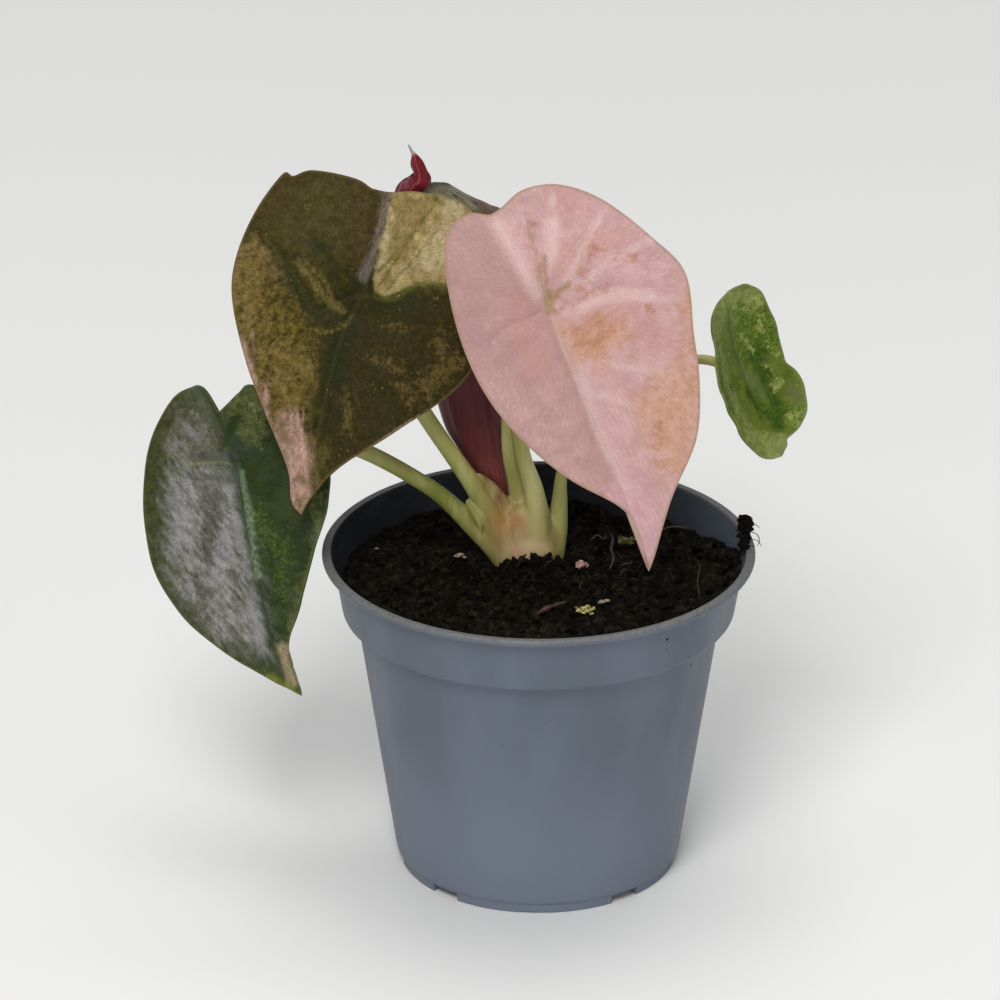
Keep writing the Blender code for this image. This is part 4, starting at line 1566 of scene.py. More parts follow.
@dataclass(frozen=True)
class Soil:
    """The peat: a lumpy top heaped against the crown, on a block that fills the pot."""

    pot: GrowerPot
    level: float = 83.6
    mound: float = 1.6
    mound_reach: float = 17.0
    centre: Point = (-3.0, 10.0)
    spokes: int = 288
    rings: int = 84
    clearance: float = 0.06
    heaps: tuple[tuple[Point, Point, float], ...] = (
        ((-1.5, 0.5), (11, 5.5), 3.8), ((57, 3), (14, 17), 6.0), ((30, 48), (16, 14), -3.5),
    )
    hump: float = 0.5
    dip: float = 0.25
    lump: float = 1.5
    lump_size: float = 6.5
    grit: float = 0.7
    grit_size: float = 2.2
    crumbs: int = 1500
    fibres: int = 150
    peat: Colour = rgb(14, 11, 8)
    peat_light: Colour = rgb(56, 47, 33)
    # Pale specks: partly pale grit, partly painted glints of the wet peat.
    fleck: Colour = rgb(124, 112, 92)
    seed: int = 7

    def ground(self, x: float, y: float) -> float:
        """The height of the soil's smooth form, with its heaps and its hollow.

        Args:
            x: A place's x.
            y: Its y.

        Returns:
            The height.
        """
        from_crown = math.hypot(x - self.centre[0], y - self.centre[1])
        height = self.level + self.mound * math.exp(-((from_crown / self.mound_reach) ** 2))
        height += self.hump * math.sin(0.19 * x + 1.1) * math.cos(0.16 * y - 0.4)
        height += self.dip * math.sin(0.33 * y + 0.21 * x)
        for at, wide, tall in self.heaps:
            height += tall * math.exp(-(((x - at[0]) / wide[0]) ** 2) - ((y - at[1]) / wide[1]) ** 2)
        return height

    def top(self, x: float, y: float) -> float:
        """The height of the lumpy surface."""
        lumps = self.lump * hill(x, y, 0.0, self.lump_size, 4)
        return self.ground(x, y) + lumps + self.grit * abs(hill(x, y, 9.0, self.grit_size))

    def edge_radius(self) -> float:
        """The radius at which the soil meets the collar's inside."""
        return self.pot.collar_radius(self.level) - self.pot.wall - self.clearance

    def build(self, effects: Effects) -> None:
        """Model the block with its lumpy top, dress it and hand it over.

        Args:
            effects: The shared node groups.
        """
        piece = turned("peat", UNIT_DISC, self.spokes, self.rings)
        disc = points_of(piece)[:, :2]
        edge = self.edge_radius()
        heights = np.array([self.top(x, y) for x, y in disc * edge])
        share = np.hypot(disc[:, 0], disc[:, 1])
        reach = edge + (self.pot.inner_radius(heights) - self.clearance - edge) * share**5
        put_points(piece, np.column_stack([disc * reach[:, None], heights]))
        pick(piece)
        start_edit()
        bpy.ops.mesh.region_to_loop()
        wall = [(r - self.clearance, z + self.clearance) for r, z in self.pot.inner_wall()]
        for _ in wall:
            bpy.ops.mesh.extrude_region_move(TRANSFORM_OT_translate={"value": (0, 0, -MM)})
        bpy.ops.mesh.edge_face_add()
        bpy.ops.object.mode_set(mode="OBJECT")
        points = points_of(piece) / MM
        turn = np.arctan2(points[:, 1], points[:, 0])
        for ring, (radius, height) in enumerate(wall):
            first = len(disc) + ring * self.spokes
            new = slice(first, first + self.spokes)
            flat = radius * np.column_stack([np.cos(turn[new]), np.sin(turn[new])])
            points[new] = np.column_stack([flat, np.full(self.spokes, height)])
        put_points(piece, points)
        face_out(piece)
        skin = self.material("Peat", effects, self.peat, self.peat_light)
        hand_over(piece, "soil", "soil", skin=skin, angle=50.0)

    def material(self, name: str, effects: Effects, dark: Colour, light: Colour) -> Material:
        """Make damp peat of two tones, with pale specks that are partly grit and partly painted glints.

        Args:
            name: The material's name.
            effects: The shared node groups.
            dark: The main tone.
            light: The tone of drier spots.

        Returns:
            The material.
        """
        material, sheet, shader = start_material(name, 0.75)
        place = sheet.place()
        patches = sheet.noise(place, 420.0, 6.0, 0.7)
        ground = sheet.blend(sheet.span(patches, 0.45, 0.7), dark, light)
        # Pale specks, partly pale grit and partly painted glints.
        freckled = sheet.group(
            effects.freckles, Colour=ground, Freckle=self.fleck, Place=place, Scale=1500.0, Share=0.05
        )
        sheet.feed(
            shader, Base_Color=freckled["Colour"], Roughness=sheet.span(patches, 0.35, 0.65, 0.5, 0.95),
            Specular_IOR_Level=0.08, Normal=sheet.bump(sheet.noise(place, 1100.0, 8.0, 0.8), 1.0, 0.8),
        )
        return material


@dataclass(frozen=True)
class Scatter:
    """One shape, copied many times with its own size, turn and place, as one piece."""

    points: list[Array] = field(default_factory=list)
    faces: list[Array] = field(default_factory=list)
    tones: list[Array] = field(default_factory=list)

    def add(self, points: Array, faces: Array, tone: float) -> None:
        """Add one copy.

        Args:
            points: Its points in millimetres.
            faces: Its triangles, as indices of its points.
            tone: A number from 0 to 1 that its material may read.
        """
        self.faces.append(faces + sum(len(block) for block in self.points))
        self.points.append(points)
        self.tones.append(np.full(len(points), tone))

    def piece(self, name: str) -> Piece:
        """Make the copies one object.

        Args:
            name: Its name.

        Returns:
            The object.
        """
        mesh = bpy.data.meshes.new(name)
        mesh.from_pydata((np.vstack(self.points) * MM).tolist(), [], np.vstack(self.faces).tolist())
        result = bpy.data.objects.new(name, mesh)
        bpy.context.scene.collection.objects.link(result)
        add_field(result, "tone", np.concatenate(self.tones))
        return result


def lump_shape(finer: bool = False) -> tuple[Array, Array]:
    """A round lump of radius 1, from an icosphere.

    Args:
        finer: Whether it has four times the faces.

    Returns:
        Its points and its triangles.
    """
    deselect_all()
    bpy.ops.mesh.primitive_ico_sphere_add(subdivisions=3 if finer else 2, radius=1.0)
    ball = bpy.context.object
    points, faces = points_of(ball), np.array([tuple(face.vertices) for face in ball.data.polygons])
    bpy.data.objects.remove(ball, do_unlink=True)
    return points, faces


def rough_lump(shape: Array, place: Place, size: Place, turn: Euler, roughness: float, salt: float) -> Array:
    """One copy of a lump, roughened, sized, turned and set in place.

    Args:
        shape: The round lump's points.
        place: Its centre in millimetres.
        size: Its half sizes in millimetres.
        turn: Its turn.
        roughness: How deep its hollows are, as a share of its size.
        salt: A number that makes its hollows its own.

    Returns:
        The copy's points in millimetres.
    """
    dents = np.array([1 + roughness * hill(x + salt, y, z, 0.9, 2) for x, y, z in shape])
    sized = shape * dents[:, None] * np.array(size)
    return sized @ np.array(turn.to_matrix()).T + np.array(place)


def thread(line: Sequence, radius: float, sides: int = 5) -> tuple[Array, Array]:
    """A thin thread with closed, narrowing ends.

    Args:
        line: The points that it follows, in millimetres.
        radius: Its radius in the middle.
        sides: How many sides it has.

    Returns:
        Its points and its triangles.
    """
    path = np.array(line, float)
    ahead = units(np.gradient(path, axis=0))
    side = units(np.cross(ahead, (0.31, 0.2, 0.93)))
    other = np.cross(ahead, side)
    turn = np.arange(sides) * 2 * math.pi / sides
    slim = radius * np.sin(np.linspace(0.25, math.pi - 0.25, len(path))) ** 0.5
    rings = [
        path[i] + slim[i] * (np.cos(turn)[:, None] * side[i] + np.sin(turn)[:, None] * other[i])
        for i in range(len(path))
    ]
    last, first_end = (len(path) - 1) * sides, len(path) * sides
    faces = []
    for ring in range(0, last, sides):
        for i in range(sides):
            a, b = ring + i, ring + (i + 1) % sides
            faces += [(a, b, b + sides), (a, b + sides, a + sides)]
    for i in range(sides):
        after = (i + 1) % sides
        faces += [(after, i, first_end), (last + i, last + after, first_end + 1)]
    return np.vstack([*rings, path[:1], path[-1:]]), np.array(faces)


@dataclass(frozen=True)
class Litter:
    """The loose crumbs, fibres and root threads on the soil."""

    soil: Soil
    crumb: Colour = rgb(13, 11, 8)
    crumb_light: Colour = rgb(42, 35, 26)
    in_front: float = 0.2
    front: Point = (-1.0, -1.5)
    front_reach: Point = (9.0, 4.0)
    crumb_size: Point = (0.28, 1.3)
    crumb_form: tuple[Point, ...] = ((0.8, 1.5), (0.7, 1.1), (0.5, 0.9))
    crumb_roughness: float = 0.5
    in_nests: float = 0.6
    nests: tuple[Place, ...] = ((20.0, 15.0, 8.0), (45.0, 22.0, 6.0))
    fibre_length: Point = (1.5, 6.0)
    fibre_bend: float = 0.5
    fibre_lift: Point = (0.25, 0.7)
    fibre_radius: Point = (0.04, 0.1)
    fibre_steps: int = 7
    fibre: Colour = rgb(26, 21, 17)
    dry: Colour = rgb(70, 64, 55)
    root: Colour = rgb(134, 127, 112)
    dirt: Colour = rgb(34, 27, 22)
    roots: tuple[tuple[tuple[Place, ...], float, float], ...] = (
        (((20.2, 26, 86), (20.9, 20, 87.2), (20.3, 14, 86.6), (20.9, 8, 86.9), (19.8, 3.3, 85.6)), 0.42, 0.5),
        (((22.8, 4.2, 86.2), (24.2, 4.4, 86.8), (25.4, 5.3, 86.4), (26, 7.8, 86)), 0.26, 0.62),
        (((44.1, 2.4, 88.4), (44.6, -4, 89.4), (43.8, -10, 88.2), (44.2, -17.2, 86.2)), 0.14, 0.5),
        (((34.8, 28.8, 86), (37.5, 29.4, 86.6), (41.8, 28.8, 86.6)), 0.2, 0.75),
        (((14.6, 22.6, 85.6), (16.6, 23.8, 86.6), (18.4, 22.4, 86), (19, 24.4, 86.4)), 0.2, 0.75),
        (((-46, 18.2, 84.8), (-45.2, 17.4, 85.4), (-44.4, 17.8, 85)), 0.34, 0.95),
        (((-6.2, -2.6, 88.4), (-4.9, -2.6, 91), (-3.5, -2.8, 93)), 0.42, 0.0),
        (((-9.6, -2.8, 88), (-8.6, -3, 90.2), (-7.8, -3, 90.8)), 0.3, 0.0),
        (((1.6, -3.4, 88.6), (2.2, -3.4, 90.6), (3.8, -3.2, 91.2)), 0.28, 0.0),
    )

    def random_spot(self, draw: random.Random) -> Point:
        """A place on the soil, more often near the wall and in front of the crown.

        Args:
            draw: The random numbers.

        Returns:
            Its x and y.
        """
        edge = self.soil.edge_radius() - 1.0
        if draw.random() < self.in_front:
            x, y = (draw.gauss(at, reach) for at, reach in zip(self.front, self.front_reach))
            return x, y
        radius = edge * math.sqrt(draw.uniform(0.0, 1.0))
        angle = draw.uniform(0, FULL_TURN)
        return radius * math.cos(angle), radius * math.sin(angle)

    def build_crumbs(self, effects: Effects) -> None:
        """Scatter lumps of peat.

        Args:
            effects: The shared node groups.
        """
        draw = random.Random(self.soil.seed)
        shape, faces = lump_shape()
        crumbs = Scatter()
        for _ in range(self.soil.crumbs):
            x, y = self.random_spot(draw)
            room = self.soil.edge_radius() - math.hypot(x, y)
            least, more = self.crumb_size
            size = min(least + more * draw.random() ** 3, 0.3 + 0.6 * room)
            half = [size * draw.uniform(*limits) for limits in self.crumb_form]
            turn = Euler([draw.uniform(0, FULL_TURN) for _ in range(3)])
            place = (x, y, self.soil.top(x, y) + 0.2 * size)
            crumb = rough_lump(shape, place, half, turn, self.crumb_roughness, draw.uniform(0, 90))
            crumbs.add(crumb, faces, draw.random())
        skin = self.soil.material("Peat crumbs", effects, self.crumb, self.crumb_light)
        hand_over(crumbs.piece("peat_crumbs"), "soil", skin=skin, angle=50.0)

    def build_fibres(self) -> None:
        """Scatter thin curled fibres, and lay the root threads."""
        draw = random.Random(self.soil.seed + 1)
        threads = Scatter()
        steps = self.fibre_steps
        for _ in range(self.soil.fibres):
            x, y = self.random_spot(draw)
            if draw.random() < self.in_nests:
                x, y, reach = draw.choice(self.nests)
                x, y = x + draw.gauss(0, reach), y + draw.gauss(0, reach)
            length = draw.uniform(*self.fibre_length)
            heading = draw.uniform(0, FULL_TURN)
            bend = draw.uniform(-self.fibre_bend, self.fibre_bend)
            line = []
            for step in range(steps + 1):
                least, more = self.fibre_lift
                lift = least + more * draw.random() * math.sin(math.pi * step / steps)
                line.append((x, y, self.soil.top(x, y) + lift))
                x += math.cos(heading) * length / steps
                y += math.sin(heading) * length / steps
                heading += bend
            if math.hypot(x, y) < self.soil.edge_radius() - 0.5:
                threads.add(*thread(line, draw.uniform(*self.fibre_radius)), 0.8 * draw.random() ** 2)
        for line, radius, tone in self.roots:
            threads.add(*thread(smooth_curve(line, 22), radius), tone)
        hand_over(threads.piece("peat_fibres"), "soil", skin=self.fibre_material())

    def fibre_material(self) -> Material:
        """Make the fibres' material, from dark brown to pale root.

        Returns:
            The material.
        """
        material, sheet, shader = start_material("Fibre", 0.6)
        tone = sheet.field("tone")
        brown = sheet.blend(sheet.span(tone, 0.0, 0.6), self.fibre, self.dry)
        pale = sheet.blend(sheet.span(tone, 0.6, 1.0), brown, self.root)
        uneven = sheet.noise(sheet.place(), 900.0)
        colour = sheet.blend(sheet.span(uneven, 0.4, 0.7, 0.0, 0.5), pale, self.dirt)
        sheet.feed(shader, Base_Color=colour, Normal=sheet.bump(uneven, 0.3, 0.1))
        return material


@dataclass(frozen=True)
class SoilBit:
    """One loose bit on the soil: a cluster of rough lumps of one finish, for a CAD node or none."""

    node: str
    name: str
    lumps: tuple[tuple[Place, Place, float], ...]
    colour: Colour
    second: Colour
    dirt: Colour = rgb(34, 26, 21)
    roughness: float = 0.35
    seed: int = 1

    def material(self) -> Material:
        """Make the bit's two-toned, dirty surface.

        Returns:
            The material.
        """
        material, sheet, shader = start_material(self.name.replace("_", " "), 0.7)
        place = sheet.place()
        patches = sheet.noise(place, 900.0, 4.0, 0.6)
        toned = sheet.blend(sheet.span(patches, 0.42, 0.6), self.colour, self.second)
        dirt = sheet.span(sheet.noise(place, 500.0, 3.0, 0.6), 0.55, 0.7, 0.0, 0.8)
        sheet.feed(
            shader, Base_Color=sheet.blend(dirt, toned, self.dirt), Normal=sheet.bump(patches, 0.5, 0.25),
            Roughness=sheet.span(patches, 0.3, 0.7, 0.55, 0.85),
        )
        return material

    def build(self) -> None:
        """Model the cluster, dress it and hand it over."""
        draw = random.Random(self.seed)
        shape, faces = lump_shape(finer=True)
        cluster = Scatter()
        for place, size, turn in self.lumps:
            tilt = Euler((draw.uniform(-0.3, 0.3), draw.uniform(-0.3, 0.3), math.radians(turn)))
            points = rough_lump(shape, place, size, tilt, self.roughness, draw.uniform(0, 50))
            cluster.add(points, faces, draw.random())
        nodes = [self.node] if self.node else []
        hand_over(cluster.piece(self.name), "soil_bits", *nodes, skin=self.material(), angle=40.0)


@dataclass(frozen=True)
class RimCrumb:
    """The lump of peat on the lip, with root hairs that hang over it."""

    line: tuple[Place, ...] = ((57.2, 19, 94), (57.6, 12, 95), (57.2, 6, 94.8), (56.4, -2, 93.6))
    reach: Place = (0.95, 0.6, 0.5)
    lumps: int = 170
    lump_size: Point = (0.25, 0.6)
    lump_form: Place = (1.1, 1.0, 0.85)
    roughness: float = 0.55
    curls: int = 12
    curl_steps: int = 7
    curl_step: float = 0.4
    curl_radius: Point = (0.06, 0.1)
    hair_radius: Point = (0.08, 0.14)
    hairs: tuple[tuple[Place, ...], ...] = (
        ((58.6, 9, 94.4), (60.6, 8, 94.2), (61.4, 7, 92.8), (60.8, 6.4, 91.4)),
        ((58.8, 5, 94.2), (60.8, 4.2, 93.9), (61.5, 4.6, 92.6), (61.9, 5.6, 91.6)),
        ((58.4, 13, 94.6), (60.2, 13.4, 94.8), (61.6, 12.4, 94)),
        ((57.4, 16, 94.8), (58.6, 17.6, 95.4), (60, 17.2, 94.6)),
        ((57, 1, 94.2), (58.8, -0.6, 94.6), (60.2, 0.4, 94.1)),
        ((56.6, 8, 95.6), (55.4, 6.4, 96.2), (55.8, 4.6, 95.4)),
    )
    dark: Colour = rgb(17, 13, 11)
    light: Colour = rgb(34, 26, 21)
    seed: int = 21

    def build(self, soil: Soil, effects: Effects) -> None:
        """Model the lump and its hairs, dress them and hand them over.

        Args:
            soil: The soil that it comes from.
            effects: The shared node groups.
        """
        draw = random.Random(self.seed)
        shape, faces = lump_shape()
        heap = Scatter()
        path = smooth_curve(self.line, 60)
        for _ in range(self.lumps):
            middle = path[draw.randrange(len(path))]
            place = [value + draw.gauss(0, reach) for value, reach in zip(middle, self.reach)]
            size = self.lump_size[0] + self.lump_size[1] * draw.random() ** 2
            turn = Euler([draw.uniform(0, 6.0) for _ in range(3)])
            half = [size * value for value in self.lump_form]
            lump = rough_lump(shape, place, half, turn, self.roughness, draw.uniform(0, 90))
            heap.add(lump, faces, draw.random())
        for line in self.hairs:
            heap.add(*thread(smooth_curve(line, 10), draw.uniform(*self.hair_radius)), draw.random())
        for _ in range(self.curls):
            x, y, z = path[draw.randrange(len(path))] + (0.6, 0.0, 0.4)
            heading = draw.uniform(-2.2, 2.2)
            line = []
            for _ in range(self.curl_steps):
                line.append((x, y, z))
                x += self.curl_step * math.cos(heading)
                y += self.curl_step * math.sin(heading)
                z += draw.uniform(-0.3, 0.3)
                heading += draw.uniform(-0.2, 0.7)
            heap.add(*thread(line, draw.uniform(*self.curl_radius)), draw.random())
        skin = soil.material("Rim crumb", effects, self.dark, self.light)
        hand_over(heap.piece("rim_crumb_heap"), "soil", "rim_crumb", skin=skin, angle=50.0)


# The plant's own measures and markings


PINK = BladeFinish(
    slot="leaf_pink", base=rgb(201, 162, 160), shade=rgb(187, 149, 148), under=rgb(188, 154, 144),
    vein=rgb(222, 194, 188), rim=rgb(150, 126, 96), vein_strength=0.1, rim_width=0.7, rim_strength=0.5,
    roughness=0.5, gloss=0.2, streaks=0.17, grain=0.16, freckle=rgb(140, 100, 84), glow=0.1,
    freckle_scale=1.6,
    markings=(
        # Painted shade: the left half of the folded blade, which faces away from the light, is darker.
        Marking("pink_left_shade", (Area(((-6.5, -27), (-4.5, -15), (-2, 0), (-3, 30), (-1, 55), (-2, 78),
            (-20, 60), (-34, 20), (-30, -20), (-14, -38))),), rgb(176, 138, 134), rgb(166, 131, 128),
            ragged=1.2, grain=0.06, softness=3.5),
        Marking("pink_sill", (Stroke(((-21, 16), (-16, 29), (-13, 40), (-7, 54)), 8),
            Stroke(((-9, 22), (-7, 40)), 4)), rgb(198, 160, 157), rgb(182, 146, 142), ragged=3.0,
            grain=0.12, softness=4.0, strength=0.75),
        Marking("pink_brow", (Stroke(((-2.2, -28.6), (3, -29), (8, -29.6)), 7),), rgb(178, 144, 140),
            rgb(188, 152, 147), ragged=2.4, grain=0.12, softness=3.0, strength=0.7),
        Marking("pink_blush", (Stroke(((-7, -2), (-8, 10), (-9, 16)), 7), Stroke(((13, -26), (16, -22)), 5),
            Stroke(((22, 14), (25, 21)), 5), Stroke(((4, -9), (14, -12), (24, -10)), 5),
            Stroke(((3, 9), (12, 8), (20, 8)), 4)), rgb(188, 136, 128), rgb(192, 146, 138), ragged=3.0,
            grain=0.08, softness=4.5, strength=0.6),
        Marking("pink_rays", (Stroke(((6, -4), (15, -12), (23, -19)), 1.2),
            Stroke(((8, -2), (20, -5.5), (33, -7)), 1.2), Stroke(((9, 3.4), (21, 6), (34, 11)), 1.0),
            Stroke(((3, -8), (8, -17), (11, -27)), 1.2), Stroke(((2, 26), (12, 34), (20, 44)), 1.0),
            Stroke(((1, 12), (12, 22), (26, 30)), 1.0)), rgb(226, 200, 197), rgb(212, 182, 178), ragged=1.4,
            grain=0.2, strength=0.5),
        # Painted highlight on the flanks beside the sinus vein and on the midrib and basal vein ridges,
        # partly their own pale colour.
        Marking("pink_pale_lit_ridges", (Stroke(((-5.4, -25), (-3.8, -14), (-2.2, -4)), 3.0),
            Stroke(((0.6, 8), (0.7, 24), (0.5, 36), (1.6, 50), (2.5, 60), (1, 74)), 2.8),
            Stroke(((4.2, 4.1), (11, 3.2), (16.6, 3), (21, 4.4), (26, 7)), 1.6),
            Stroke(((8, -20), (5, -12)), 2.5)), rgb(216, 187, 183), rgb(206, 175, 171), ragged=0.8,
            grain=0.12, softness=2.0, strength=0.75),
        # Painted shade along the left side of the midrib crease.
        Marking("pink_crease_shade",
            (Stroke(((-2.2, 4), (-2, 14), (-1.8, 30), (-1.6, 44), (-0.4, 56), (0, 68)), 2.4),),
            rgb(160, 126, 118), rgb(170, 138, 130), ragged=0.6, grain=0.12, softness=2.2, strength=0.65),
        Marking("pink_stain",
            (Area(((0.8, 7), (7, 7), (14, 8.5), (18.5, 12), (14, 18), (8, 19.5), (0.8, 17))),),
            rgb(176, 124, 84), rgb(194, 148, 118), ragged=5.0, grain=0.2, softness=4.6, strength=0.8),
        Marking("pink_scorch", (Area(((12, 32), (20, 29), (28, 28), (32, 19), (37, 6), (37, 22), (31, 35),
            (26.5, 45), (19, 54), (12.5, 55), (11.5, 46))),), rgb(182, 134, 98), rgb(200, 158, 134),
            ragged=5.0, grain=0.2, softness=4.6, strength=0.72),
        Marking("pink_tip", (Stroke(((0.8, 58), (0.6, 68), (0, 77)), 12),), rgb(210, 170, 177),
            rgb(198, 152, 158), grain=0.12, softness=3.0, strength=0.7),
        Marking("pink_rust", (Stroke(((10, -2.5), (12, -7), (16, -9.5), (19, -9)), 1.2),
            Stroke(((21.5, -6), (26.3, -3.8)), 1.1), Stroke(((9, -1), (13, -5.5)), 0.8),
            Stroke(((0.4, 2.4), (6.3, 1.9), (12.9, 0.8), (16, 1)), 0.8),
            Stroke(((1.5, 9), (5, 8.6), (12, 9.6)), 1.2), Stroke(((2, 12), (8, 13), (13, 12)), 1.0),
            Stroke(((-0.2, 33.8), (-0.2, 34.3)), 1.0), Stroke(((15.8, 40.6), (16, 41)), 1.4),
            Stroke(((15.4, 44.8), (15.8, 45.2)), 1.0), Stroke(((24.9, 10.8), (25.2, 11.3)), 0.8),
            Stroke(((3.8, -22.4), (4, -22)), 0.8)), rgb(158, 104, 78), rgb(180, 132, 112), ragged=2.8,
            grain=0.34, softness=1.3, strength=0.62),
        Marking("pink_hub", (Stroke(((-0.4, 1.4), (0.4, -1), (0.8, -3)), 3.0),
            Stroke(((0.6, -0.4), (4, -2.6), (7, -3.4)), 1.4),
            Stroke(((0, -3), (0.5, -9), (1.4, -14.7), (1.8, -19.9), (2.6, -25)), 0.8),
            Stroke(((3.4, -12.4), (1, -5)), 0.5)), rgb(132, 106, 56), rgb(160, 134, 92), ragged=0.7,
            grain=0.4, softness=1.0, strength=0.8),
    ),
)

